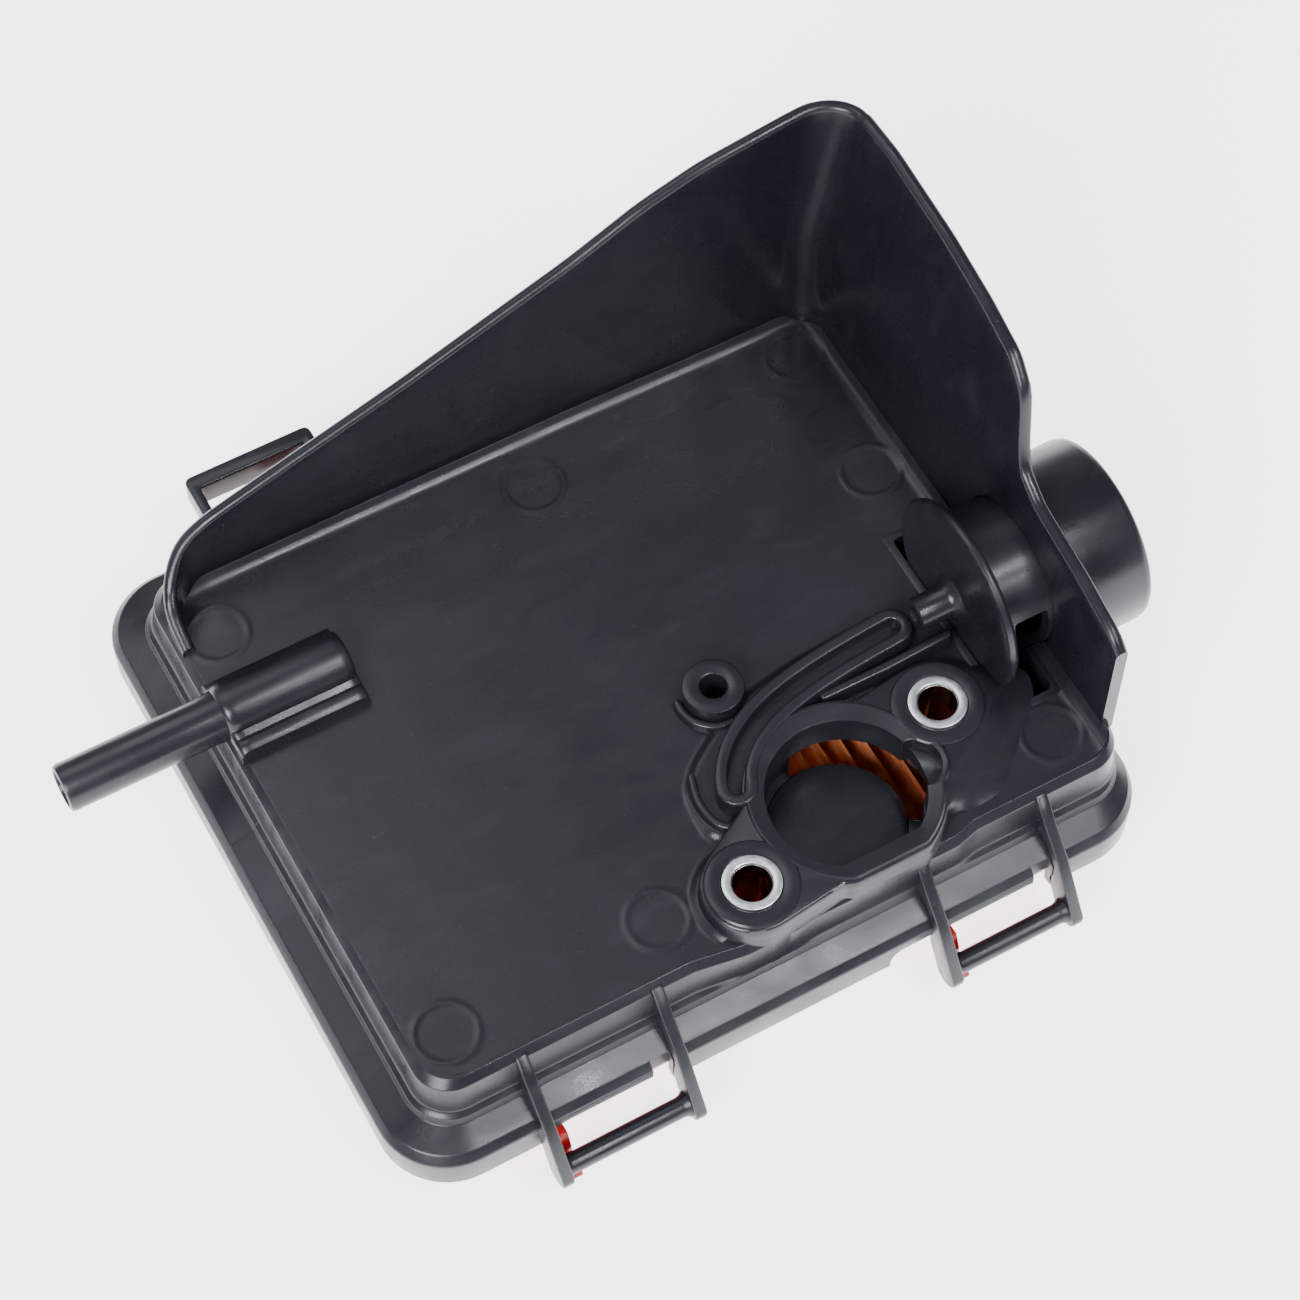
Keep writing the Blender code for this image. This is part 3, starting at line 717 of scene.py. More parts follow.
# %% [markdown]
# The primer's groove is a raised loop of ridge with a low floor between its sides, so a ridge
# swept round a closed path makes it. The same ridge, left open and round at its ends, makes the
# straight rib beside it and the small hook at its lower end. The screw boss is turned.

# %% Ridges and the screw boss
LOOP_HALF = 2.35                   # from the groove's middle to the middle of each ridge
loop_side = normals_of(CHANNEL)
upper = [(x + nx * LOOP_HALF, y + ny * LOOP_HALF) for (x, y), (nx, ny) in zip(CHANNEL, loop_side)]
lower = [(x - nx * LOOP_HALF, y - ny * LOOP_HALF) for (x, y), (nx, ny) in zip(CHANNEL, loop_side)]


def round_end(point, side, turn):
    """Half circle that joins the two sides of the loop."""
    nx, ny = side
    return [(point[0] + LOOP_HALF * (nx * cos(a) + turn * ny * sin(a)),
             point[1] + LOOP_HALF * (ny * cos(a) - turn * nx * sin(a)))
            for a in np.linspace(0, pi, 9)[1:-1]]


loop = (upper + round_end(CHANNEL[-1], loop_side[-1], 1) + lower[::-1]
        + round_end(CHANNEL[0], -loop_side[0], 1))
channel = ridge("primer_groove_loop", loop, 2.0, 4.1, closed=True)
keep(channel, NYLON, "black_nylon", "base", "primer_channel", angle=45)
for name, path, width, top in (
        ("straight_rib", [(84.0, 29.3), (95.0, 29.2), (106.4, 29.6)], 1.5, 3.2),
        ("groove_hook", softened([(59.0, 27.2), (57.9, 24.0), (57.8, 20.8), (58.4, 18.4),
                                  (59.6, 17.0), (61.0, 16.4)], 2), 1.25, 2.2),
        ("boss_ledge", arc(*SCREW_BOSS, 5.9, 170, 292, 14), 1.3, 1.5)):
    keep(ridge(name, path, width, top), NYLON, "black_nylon", "base", angle=45)
boss_ring = turned("screw_boss_ring", [(-2.0, 2.1), (-2.0, 5.3), (0.5, 5.15), (3.1, 5.0),
                                       (3.38, 4.9), (3.5, 4.6), (3.5, 2.5), (3.35, 2.25),
                                       (3.0, 2.1)], (*SCREW_BOSS, 0), "Z", 72)
keep(boss_ring, NYLON, "black_nylon", "base", "screw_boss", angle=35)

# %% [markdown]
# ## The carburettor land
# The land is the raised face round the throat, with a boss round each bolt. Its outline is the
# union of a few circles, some of them swept towards each other. A union of circles is easy to
# draw from its middle: for each direction, walk outwards until no circle holds the point. The
# rings between the throat and that outline give the sealing groove and the rounded edges.

# %% Walking outwards from the throat's middle
LAND_TOP, LIP_DROP = 3.9, 0.4
THROAT_R, THROAT_FLAT_Y, LAND_FRONT_Y = 12.5, 2.0, -2.7
NOTCH = Vector((THROAT.x + 11.9, 11.7))
directions = np.linspace(0, 2 * pi, 480, endpoint=False)
facing = np.stack([np.cos(directions), np.sin(directions)], axis=1)


def out_to_circle(centre, radius):
    """How far the circle's far side is from the throat's middle, in each direction."""
    middle = np.array([centre[0] - THROAT.x, centre[1] - THROAT.y])
    along = facing @ middle
    inside = along ** 2 - middle @ middle + radius ** 2
    return np.where(inside > 0, along + np.sqrt(np.maximum(inside, 0)), 0.0)


def out_to_front(y):
    """How far the line at that y is; only the directions that face it are limited."""
    down = np.minimum(facing[:, 1], -1e-6)
    return np.where(facing[:, 1] < 0, (y - THROAT.y) / down, 1e9)


def out_to_swept(start, start_r, end, end_r, steps=40):
    """The same for the shape that a circle covers as it moves and changes size."""
    reach = [out_to_circle(start.lerp(end, t), start_r + (end_r - start_r) * t)
             for t in np.linspace(0, 1, steps)]
    return np.max(reach, axis=0)


def blurred(radius, width=9):
    pad = width // 2
    return np.convolve(np.r_[radius[-pad:], radius, radius[:pad]], np.ones(width) / width, "valid")


print("outline is read in", len(directions), "directions")

# %% Throat opening, lip and outline
opening = np.minimum(np.maximum(THROAT_R, out_to_circle(NOTCH, 4.1)), out_to_front(THROAT_FLAT_Y))
lip = np.maximum(out_to_circle(THROAT + Vector((0.15, 0.5)), 15.4), out_to_circle(NOTCH, 5.3))
lip = blurred(np.minimum(lip, out_to_front(-1.0)), 5)
outline = np.maximum(out_to_swept(UPPER_BOLT, 8.1, THROAT, 12.5),
                     out_to_swept(LOWER_BOLT, 8.1, THROAT, 12.5))
outline = np.maximum(outline, lip + 0.6)
outline = blurred(np.minimum(outline, np.maximum(out_to_front(LAND_FRONT_Y), lip + 0.6)), 7)
toward_primer = np.degrees(np.angle(np.exp(1j * (directions - radians(-6)))))
ramp = 1 - smooth(np.abs(toward_primer), 14, 34)         # the land slopes gently on that side
front = smooth(-facing[:, 1] * (outline + 0.3), 11.0, 14.2)   # where the side reaches the rim
print("land reaches", round(float(outline.max()), 1), "mm from the throat's middle")

# %% Build the land
land_rings = []
for radius, z in (
        (opening + 0.9, -2.1), (opening, -2.1), (opening, 3.5), (opening + 0.14, 3.78),
        (opening + 0.5, LAND_TOP), (np.maximum(lip - 0.75, opening + 0.6), LAND_TOP),
        (np.maximum(lip - 0.45, opening + 0.7), LAND_TOP + 0.1),
        (np.maximum(lip - 0.15, opening + 0.8), LAND_TOP + 0.05),
        (lip + 0.12, LAND_TOP - LIP_DROP + 0.05), (lip + 0.4, LAND_TOP - LIP_DROP),
        (outline - 0.75, LAND_TOP - LIP_DROP), (outline - 0.25 + 0.6 * ramp, 3.32),
        (outline + 2.0 * ramp, 2.9 - 0.3 * ramp), (outline + 0.12 + 4.2 * ramp, 1.5),
        (outline + 0.25 + 6.4 * ramp, 0.5), (outline + 0.35 + 8.6 * ramp, 0.02),
        (outline + 0.35 + 8.6 * ramp, -0.5 - 7.4 * front), (outline - 1.2, -2.1 - 5.8 * front)):
    radius = np.minimum(radius, out_to_front(LAND_FRONT_Y - 0.25))
    height = np.broadcast_to(z, radius.shape)
    land_rings.append([(THROAT.x + r * c, THROAT.y + r * w, h)
                       for r, (c, w), h in zip(radius, facing, height)])
land = tube_of("carburettor_land_face", land_rings, closed_path=True)
carve(land, *[rod_cutter((*bolt, 0), 4.8, -12, 9) for bolt in (LOWER_BOLT, UPPER_BOLT)])
keep(land, NYLON, "black_nylon", "base", "carburettor_land", angle=40)
for label, bolt in (("lower", LOWER_BOLT), ("upper", UPPER_BOLT)):
    boss_face = turned(f"{label}_bolt_boss", [(3.0, 4.8), (3.0, 7.6), (3.7, 7.45), (3.92, 7.2),
                                              (4.0, 6.8), (4.0, 5.1), (3.9, 4.85)],
                       (*bolt, 0), "Z", 96)
    keep(boss_face, NYLON, "black_nylon", "base", angle=30)

# %% [markdown]
# ## Bolt sleeves and baffle disc
# Steel sleeves keep the nylon from being crushed by the bolts. They are turned, with a small
# chamfer at each end, and lined with a thin ring of darker steel that paints the shade inside
# the bore. The disc under the throat stops fuel that is spat back from wetting the filter. It
# hangs on a curved web at the back and on two narrow legs at the front.

# %% Sleeves and baffle
for label, bolt in (("lower", LOWER_BOLT), ("upper", UPPER_BOLT)):
    low, high = corners_of(f"{label}_bolt_sleeve")
    outer, bore, chamfer = 4.72, 3.15, 0.4
    profile = [(low.z, bore + chamfer), (low.z, outer - 0.2), (low.z + 0.2, outer),
               (high.z - 0.25, outer), (high.z - 0.07, outer - 0.07), (high.z, outer - 0.25),
               (high.z, bore + chamfer), (high.z - 0.1, bore + chamfer * 0.4),
               (high.z - chamfer, bore), (low.z + chamfer, bore)]
    sleeve = turned(f"{label}_sleeve", profile, (*bolt, 0), "Z", 72)
    keep(sleeve, STEEL, "zinc_steel", "base", f"{label}_bolt_sleeve", angle=25)
    # a thin ring of darker steel inside the bore: painted shade
    shade_lining = [(low.z + 0.5, bore - 0.04), (low.z + 0.5, bore + 0.2),
              (high.z - 0.5, bore + 0.2), (high.z - 0.5, bore - 0.04)]
    keep(turned(f"{label}_sleeve_bore", shade_lining, (*bolt, 0), "Z", 72), BORE, "zinc_steel", "base",
         angle=25)

DISC_C = Vector((THROAT.x - 0.4, THROAT.y + 1.0))
disc = turned("baffle_disc_moulding",
              [(-9.8, 0.0), (-9.8, 10.8), (-9.65, 11.1), (-9.3, 11.3), (-8.95, 11.25),
               (-8.6, 11.0), (-8.45, 10.5), (-8.4, 9.6), (-8.4, 0.0)], (*DISC_C, 0), "Z", 96)
keep(disc, NYLON, "dark_nylon", "base", "baffle_disc", angle=30)
web = arc(*DISC_C, 12.8, 96, 160, 16) + arc(*DISC_C, 13.9, 160, 96, 16)
keep(slab("baffle_web", web, -9.75, -1.9, "Z", 0.15), NYLON, "dark_nylon", "base")
foot = arc(*DISC_C, 10.5, 100, 156, 14) + arc(*DISC_C, 13.7, 156, 100, 14)
keep(slab("baffle_web_foot", foot, -9.7, -9.0, "Z", 0.15), NYLON, "dark_nylon", "base")
for number, angle in enumerate((212, 330), start=1):
    a = radians(angle)
    out, side = Vector((cos(a), sin(a))), Vector((-sin(a), cos(a)))
    for kind, near, far, low, high in (("arm", 9.5, 14.6, -9.7, -9.0),
                                       ("post", 13.2, 14.8, -9.75, -1.9)):
        corners = [DISC_C + out * run + side * across for run, across in (
            (near, -1.5), (far, -1.5), (far, 1.5), (near, 1.5))]
        leg = slab(f"baffle_{kind}_{number}", [(p.x, p.y) for p in corners], low, high, "Z", 0.2)
        keep(leg, NYLON, "dark_nylon", "base")

# %% [markdown]
# ## The deflector wall
# The wall keeps hot air from the engine out of the intake. In plan it is a path with two round
# corners, and its top climbs steadily along the back, then drops in a step over the primer. A
# loft does this best: many upright sections along the path, each a thin strip with a rounded
# top, with the height read from a short table.

# %% Plan and height of the wall
LEFT_CORNER_R, RIGHT_CORNER_R = 8.0, 6.5
BACK_TOP = ((0.0, 4.0), (4.0, 11.5), (10.3, 16.0), (19.3, 19.3), (46.0, 28.7),
            (76.4, 40.8), (88.8, 46.9), (99.4, 50.4), (114.0, 53.2), (121.0, 53.4))
SIDE_TOP = ((4.2, 21.5), (6.0, 23.8), (8.0, 24.8), (17.7, 27.0), (30.0, 28.8), (35.5, 31.5),
            (38.0, 37.0), (40.0, 44.0), (45.0, 48.0), (54.0, 50.4), (66.0, 52.5), (83.0, 54.0),
            (96.0, 53.4))
WALL_LINE_X, WALL_LINE_Y = 120.7, 97.6
LEFT_X, WALL_START_Y, WALL_END_Y = 0.9, 86.0, 4.6
HALF_WALL, TALLEST = 1.1, 53.4
FLARE, FLARE_FROM_X, FLARE_FROM_Z = 4.6, 99.4, 24.0      # the tall end leans out to the right


def soft_table(table, value, width=2.2):
    """Table reading with its corners smoothed over a few millimetres."""
    xs, hs = zip(*table)
    spread = np.linspace(-width, width, 9)
    return float(np.mean(np.interp(value + spread, xs, hs)))


def wall_plan():
    """Points along the wall with the direction square to it: (x, y, nx, ny)."""
    left, right = LEFT_CORNER_R, RIGHT_CORNER_R
    points = [(LEFT_X, y, -1.0, 0.0) for y in np.linspace(WALL_START_Y, WALL_LINE_Y - left, 5)]
    for a in np.radians(np.linspace(180, 90, 13)[1:]):
        points.append((LEFT_X + left + left * cos(a), WALL_LINE_Y - left + left * sin(a),
                       cos(a), sin(a)))
    for x in np.linspace(LEFT_X + left, WALL_LINE_X - right, 64)[1:]:
        points.append((x, WALL_LINE_Y, 0.0, 1.0))
    for a in np.radians(np.linspace(90, 0, 15)[1:]):
        points.append((WALL_LINE_X - right + right * cos(a), WALL_LINE_Y - right + right * sin(a),
                       cos(a), sin(a)))
    for y in np.linspace(WALL_LINE_Y - right, WALL_END_Y, 84)[1:]:
        points.append((WALL_LINE_X, y, 1.0, 0.0))
    return points


def wall_top(x, y):
    if x > WALL_LINE_X - 0.1 and y < WALL_LINE_Y - RIGHT_CORNER_R + 0.1:
        return soft_table(SIDE_TOP, y, 1.2)
    if x < LEFT_X + 0.1:
        return 1.4 + 3.0 * (y - WALL_START_Y) / (WALL_LINE_Y - LEFT_CORNER_R - WALL_START_Y)
    return soft_table(BACK_TOP, x)


print("wall path has", len(wall_plan()), "stations")

# %% Loft the wall
rings = []
WALL_ROWS = 18
for x, y, nx, ny in wall_plan():
    top = wall_top(x, y)
    share = min(1.0, max(0.0, (x - FLARE_FROM_X) / (WALL_LINE_X - FLARE_FROM_X)))
    foot = -0.8
    levels = [foot + (top - 1.0 - foot) * i / WALL_ROWS for i in range(WALL_ROWS + 1)]
    ring = []
    strip = [(-HALF_WALL, z) for z in levels]
    strip += [(-HALF_WALL * cos(radians(a)), top - 1.0 + sin(radians(a)))
              for a in (25, 50, 75, 105, 130, 155)]
    strip += [(HALF_WALL, z) for z in levels[::-1]]
    for across, z in strip:
        lean = share * FLARE * max(0.0, z - FLARE_FROM_Z) / (TALLEST - FLARE_FROM_Z)
        ring.append((x + nx * across + lean, y + ny * across, z))
    rings.append(ring)
wall = tube_of("deflector_wall_moulding", rings, cap=True)
carve(wall, barrel_hole())
# the darker copy of the nylon paints the shade on the wall
keep(wall, SHADED_WALL_NYLON, "dark_nylon", "base", "deflector_wall", angle=40)

# %% [markdown]
# ## The primer
# Pressing the rubber bulb pushes air through the barrel and the groove to the carburettor. The
# back plate, the barrel, the cup and the bulb are all turned shapes on one axis along X, so
# each is a short profile. The barrel has a window cut in its lower front.

# %% Back plate and barrel
AXIS = (0, BARREL_AXIS.y, BARREL_AXIS.z)
BACK_X = 109.2
backplate = turned("primer_back_disc",
                   [(BACK_X, 0.0), (BACK_X, 14.6), (BACK_X, 15.7), (BACK_X + 0.25, 16.2),
                    (BACK_X + 0.7, 16.4), (BACK_X + 1.2, 16.35), (BACK_X + 1.6, 16.1),
                    (BACK_X + 1.8, 15.6), (BACK_X + 1.8, 0.0)], AXIS, "X", 96)
keep(backplate, NYLON, "black_nylon", "base", "primer_backplate", angle=30)

barrel = turned("primer_barrel_moulding",
                [(111.0, 10.9), (111.0, 12.3), (111.2, 12.5), (123.4, 12.5), (123.4, 10.6),
                 (111.4, 10.6)], AXIS, "X", 96)
window = block("cutter", (112.6, 12, AXIS[2] - 8), (118.6, AXIS[1] - 6, AXIS[2] + 5), 0.6)
carve(barrel, window)
keep(barrel, NYLON, "black_nylon", "base", "primer_barrel", angle=35)

# %% [markdown]
# The cup outside the wall keeps a thumb centred on the bulb. It is a short pipe with a rolled
# edge, cut away below so that it clears the tray's flange. A bright ring inside it holds the
# bulb's rim.

# %% Cup and retaining ring
cup_profile = [(121.6, 13.7), (121.6, 15.7), (134.6, 15.7), (135.5, 15.5), (135.9, 15.1),
               (136.0, 14.7), (135.9, 14.3), (135.6, 14.0), (135.2, 13.9), (123.0, 13.9),
               (122.9, 13.7)]
cup = turned("primer_cup_moulding", cup_profile, AXIS, "X", 120)
carve(cup, block("cutter", (119, 10, -14), (124.6, 55, -7.2)))
# the darker copy of the nylon paints the shade on the cup
keep(cup, SHADED_WALL_NYLON, "black_nylon", "base", "primer_cup", angle=35)

ring_profile = [(126.4, 10.9), (126.4, 13.5), (126.9, 13.55), (128.2, 13.4), (128.4, 12.9),
                (128.0, 11.6), (128.3, 11.2), (128.1, 10.9)]
ring_piece = turned("primer_ring", ring_profile, AXIS, "X", 96)
keep(ring_piece, STEEL, "zinc_steel", "base", "primer_retaining_ring", angle=28)

# %% [markdown]
# The bulb is a hollow dome of soft rubber, turned in one piece with its inside. The nipple on
# the other end of the axis carries the primed air into the groove.

# %% Bulb and nipple
BULB_BACK = 124.4
BULB_R, BULB_LENGTH = 9.8, 9.6
dome = [(BULB_LENGTH - 4.5 * (1 - cos(a)), BULB_R * sin(a)) for a in np.linspace(0, pi / 2, 14)]
dome[3] = (dome[3][0] - 0.25, dome[3][1])     # a faint crease that the bulb folds along
inside = [(0.0, BULB_R - 1.6), (BULB_LENGTH - 5.5, BULB_R - 1.6), (BULB_LENGTH - 2.4, 4.0),
          (BULB_LENGTH - 2.0, 0.0)]
bulb_profile = [(BULB_BACK + run, radius) for run, radius in
                [(BULB_LENGTH, 0.0)] + dome[1:] + [(0.25, BULB_R), (0.0, BULB_R - 0.3)] + inside]
bulb = turned("primer_bulb_rubber", bulb_profile, AXIS, "X", 96)
keep(bulb, RUBBER, "black_rubber", "primer_bulb", "primer_bulb", angle=50)

nipple = turned("primer_nipple_moulding",
                [(103.2, 1.3), (102.5, 1.5), (102.4, 2.4), (102.6, 2.75), (103.0, 2.8),
                 (107.6, 2.8), (108.4, 3.3), (109.2, 4.4), (109.2, 1.3)],
                (0, NIPPLE.y, NIPPLE.z), "X", 48)
keep(nipple, NYLON, "black_nylon", "base", "primer_nipple", angle=35)

# %% [markdown]
# The back plate needs room below the plate's surface, so the plate has a sunk pocket. It is a
# plain tub with thin walls and a flat floor, opened on the primer's side where the barrel
# leaves it.

# %% Primer pocket
tub = block("primer_pocket_tub", POCKET_LOW, (POCKET_HIGH.x, POCKET_HIGH.y, 0.1), 0.3)
hollow = block("cutter", POCKET_LOW + Vector((1.4, 1.4, 1.4)),
               (POCKET_HIGH.x - 1.4, POCKET_HIGH.y - 1.4, 9), 0.7)
carve(tub, hollow, barrel_hole())
keep(tub, NYLON, "black_nylon", "base", "primer_pocket", angle=35)

# %% [markdown]
# ## The breather
# The hose from the crankcase pushes onto a plain tube. Inside the tray's edge the tube becomes
# a long hump on a low pad, which is a cross-section carried along X.

# %% Breather tube and boss
TUBE = centre_of("breather_tube")
TUBE_END, TUBE_R, TUBE_BORE = -27.0, 4.0, 3.0
tube = turned("breather_tube_moulding",
              [(TUBE_END, TUBE_BORE + 0.2), (TUBE_END, TUBE_R - 0.6),
               (TUBE_END + 0.2, TUBE_R - 0.2), (TUBE_END + 0.8, TUBE_R), (-3.0, TUBE_R),
               (-0.5, TUBE_R + 0.2), (3.0, TUBE_R + 0.3), (3.0, TUBE_BORE),
               (TUBE_END + 0.3, TUBE_BORE)],
              (0, TUBE.y, TUBE.z), "X", 72)
keep(tube, NYLON, "black_nylon", "base", "breather_tube", angle=35)


def boss_section(drop):
    """Cross-section of the boss at the tube's height; drop sinks it towards its ends."""
    y, z, r = TUBE.y, TUBE.z, 4.9 - drop
    hump = [(y + r * cos(radians(a)), z + r * sin(radians(a))) for a in range(15, 166, 10)]
    left = [(y - 4.9, 3.0 - drop), (y - 5.8, 2.5 - drop), (y - 6.6, 2.9 - drop),
            (y - 7.6, 2.7 - drop), (y - 8.3, 2.2 - drop), (y - 8.6, 1.2), (y - 8.7, -0.6)]
    right = [(y + 6.8, -0.6), (y + 6.6, 0.9), (y + 6.2, 1.5 - drop * 0.5),
             (y + 5.2, 1.8 - drop), (y + 4.9, 2.1 - drop)]
    return right + hump + left


boss_rings = [[(x, y, z) for y, z in boss_section(drop)]
              for x, drop in ((-0.2, 1.0), (0.1, 0.45), (0.8, 0.1), (2.0, 0.0), (12.0, 0.0),
                              (20.0, 0.0), (21.2, 0.1), (21.8, 0.5), (22.0, 1.1))]
boss = tube_of("breather_boss_moulding", boss_rings, cap=True)
keep(boss, NYLON, "black_nylon", "base", "breather_boss", angle=35)

# %% [markdown]
# ## Hinge lugs and bars
# The cover hooks onto two round bars, each held between a pair of thin webs. A web is a flat
# outline with rounded edges. The bars are turned, and swell a little where they run into the
# webs, as any moulded bar does. They swell least beside the hooks, which have to turn there.

# %% Webs and bars
HINGE_Y, HINGE_Z = centre_of("hinge_bar_left").yz
BAR_R = 1.7
for number, x in enumerate(LUG_X, start=1):
    tip = arc(HINGE_Y, HINGE_Z, 2.95, 165, 300, 8)
    outline = [(0.2, -0.55), (0.2, -6.0), (-1.6, -8.4), (-6.6, -11.2), (-7.2, SKIRT_Z + 1.2)]
    outline += tip[::-1] + [(-8.6, -9.4), (-4.4, -4.9), (-0.9, -0.75)]
    web = slab(f"hinge_web_{number}", outline, x - 1.0, x + 1.0, "X", 0.32, 3)
    keep(web, NYLON, "black_nylon", "base", f"hinge_lug_{number}", angle=40)

for side, first, last in (("left", LUG_X[0], LUG_X[1]), ("right", LUG_X[2], LUG_X[3])):
    start, end = first + 0.6, last - 0.6
    profile = [(start, 0.0), (start, 2.1), (start + 0.5, 1.9), (start + 0.9, 1.75),
               (start + 1.2, BAR_R), (end - 1.8, BAR_R), (end - 1.2, 1.8), (end - 0.7, 2.15),
               (end, 2.3), (end, 0.0)]
    bar = turned(f"hinge_rod_{side}", profile, (0, HINGE_Y, HINGE_Z), "X", 40)
    keep(bar, NYLON, "black_nylon", "base", f"hinge_bar_{side}", angle=40)

# %% [markdown]
# The cover's tongues snap into two loops on the back edge. A loop is an outline with a window,
# open towards the tray, so one polyline goes round the outside and back round the window.

# %% Latch loops
for side in ("left", "right"):
    low, high = corners_of(f"latch_loop_{side}")
    bar_y = high.y - 2.9
    outline = rounded([(low.x, 107.9, 0), (low.x, high.y, 1.4), (high.x, high.y, 1.4),
                       (high.x, 107.9, 0), (high.x - 1.9, 107.9, 0), (high.x - 1.9, bar_y, 0.7),
                       (low.x + 1.9, bar_y, 0.7), (low.x + 1.9, 107.9, 0)])
    loop = slab(f"latch_bail_{side}", outline, low.z, high.z, "Z", 0.4, 3)
    keep(loop, NYLON, "black_nylon", "base", f"latch_loop_{side}", angle=40)

# %% [markdown]
# ## The red cover
# The cover is a shallow pan. Its section is a polyline with rounded corners, carried round a
# rounded rectangle and closed by a flat floor, outside and inside.

# %% Cover pan
FLOOR_Z = (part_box("cover_shell")[0][2] - DATUM.z) / MM
COVER_LEFT, COVER_RIGHT, COVER_FRONT, COVER_BACK = -5.2, 121.7, -5.1, 106.3
COVER_RIM_Z = -15.8


def cover_ring(inset, z, corner_steps=12):
    corners = corner_arcs(COVER_LEFT + inset, COVER_FRONT + inset, COVER_RIGHT - inset,
                          COVER_BACK - inset, max(2.0, 9.0 - inset * 0.35), corner_steps)
    return [(x, y, z) for corner in corners for x, y in corner]


COVER_SECTION = rounded([
    (11.0, FLOOR_Z + 0.5, 0), (8.6, FLOOR_Z, 0.6), (7.2, FLOOR_Z, 1.0), (1.7, -22.6, 3.5),
    (0.15, -18.4, 2.0), (0.0, COVER_RIM_Z, 0.3), (1.7, COVER_RIM_Z, 0.3), (1.8, -18.6, 2.0),
    (3.5, -22.0, 3.0), (8.2, FLOOR_Z + 1.9, 0.8), (11.0, FLOOR_Z + 1.9, 0)], closed=False, steps=6)
shell = tube_of("cover_pan", [cover_ring(inset, z) for inset, z in COVER_SECTION], cap=True)
keep(shell, RED, "red_cover_plastic", "cover", "cover_shell", angle=32)

# %% [markdown]
# Ribs stiffen the floor of the pan and the part stands on them. They repeat at one pitch, so
# Geometry Nodes make them: points on a line, one rounded bar at each point. The bar's size,
# the pitch and the count are named inputs of the tree. The filter's pleats and wires repeat as
# well, so what every tree needs comes first: its inputs, its links, and its end.

# %% Node trees with named inputs
def new_tree(name, values):
    """A tree with named inputs: (label, kind, value). Also gives each input's identifier."""
    tree = bpy.data.node_groups.new(name, "GeometryNodeTree")
    settings = {}
    for label, kind, value in values:
        socket = tree.interface.new_socket(name=label, in_out="INPUT",
                                           socket_type="NodeSocket" + kind)
        socket.default_value = value
        settings[socket.identifier] = value
    tree.interface.new_socket(name="Geometry", in_out="OUTPUT", socket_type="NodeSocketGeometry")
    return tree, tree.nodes.new("NodeGroupInput").outputs, settings


def link_all(tree, *links):
    for source, target in links:
        tree.links.new(source, target)


def run_tree(tree, result, finish, settings):
    """Give the result a finish, and bake the tree into an object of the same name."""
    realize = tree.nodes.new("GeometryNodeRealizeInstances")
    paint = tree.nodes.new("GeometryNodeSetMaterial")
    paint.inputs["Material"].default_value = finish
    link_all(tree, (result, realize.inputs["Geometry"]),
             (realize.outputs["Geometry"], paint.inputs["Geometry"]),
             (paint.outputs["Geometry"], tree.nodes.new("NodeGroupOutput").inputs[0]))
    holder = to_object(tree.name, bpy.data.meshes.new(tree.name))
    modifier = holder.modifiers.new("nodes", "NODES")
    modifier.node_group = tree
    for identifier, value in settings.items():
        modifier[identifier] = value
    return baked(holder)


print("node tree helpers ready")

# %% A tree that repeats a bar along a line
def repeating_bars(name, start, step, count, size, finish):
    """`count` bars of one size at equal steps from a start point."""
    tree, given, settings = new_tree(name, (("Count", "Int", count), ("Start", "Vector", start),
                                            ("Step", "Vector", step), ("Size", "Vector", size)))
    line = tree.nodes.new("GeometryNodeMeshLine")
    bar = tree.nodes.new("GeometryNodeMeshCube")
    place = tree.nodes.new("GeometryNodeInstanceOnPoints")
    link_all(tree, (given["Count"], line.inputs["Count"]),
             (given["Start"], line.inputs["Start Location"]),
             (given["Step"], line.inputs["Offset"]), (given["Size"], bar.inputs["Size"]),
             (line.outputs["Mesh"], place.inputs["Points"]),
             (bar.outputs["Mesh"], place.inputs["Instance"]))
    return run_tree(tree, place.outputs["Instances"], finish, settings)


def soften(piece, edge, segments=2):
    """Round every sharp edge of a finished mesh."""
    bm = bmesh.new()
    bm.from_mesh(piece.data)
    round_sharp(bm, edge, segments)
    bm.to_mesh(piece.data)
    bm.free()
    return piece


print("bar tree and softening ready")

# %% Ribs of the cover
RIB_COUNT, RIB_WIDTH, RIB_DEPTH = 9, 2.0, 0.9
first_rib, last_rib = at(14, 50.5, FLOOR_Z + RIB_DEPTH / 2), at(102, 50.5, FLOOR_Z + RIB_DEPTH / 2)
ribs = repeating_bars("cover_ribs", first_rib, (last_rib - first_rib) / (RIB_COUNT - 1), RIB_COUNT,
                      Vector((RIB_WIDTH, 84.0, RIB_DEPTH)) * MM, RED)
keep(soften(ribs, 0.3), RED, "red_cover_plastic", "cover")

# %% [markdown]
# The hooks and tongues are part of the cover's moulding. A hook is most of a ring round the
# hinge bar, so its outline is an outer arc, a short arm to the pan, and an inner arc back. A
# tongue is a flat strip that reaches out under the loop and then up through its window.

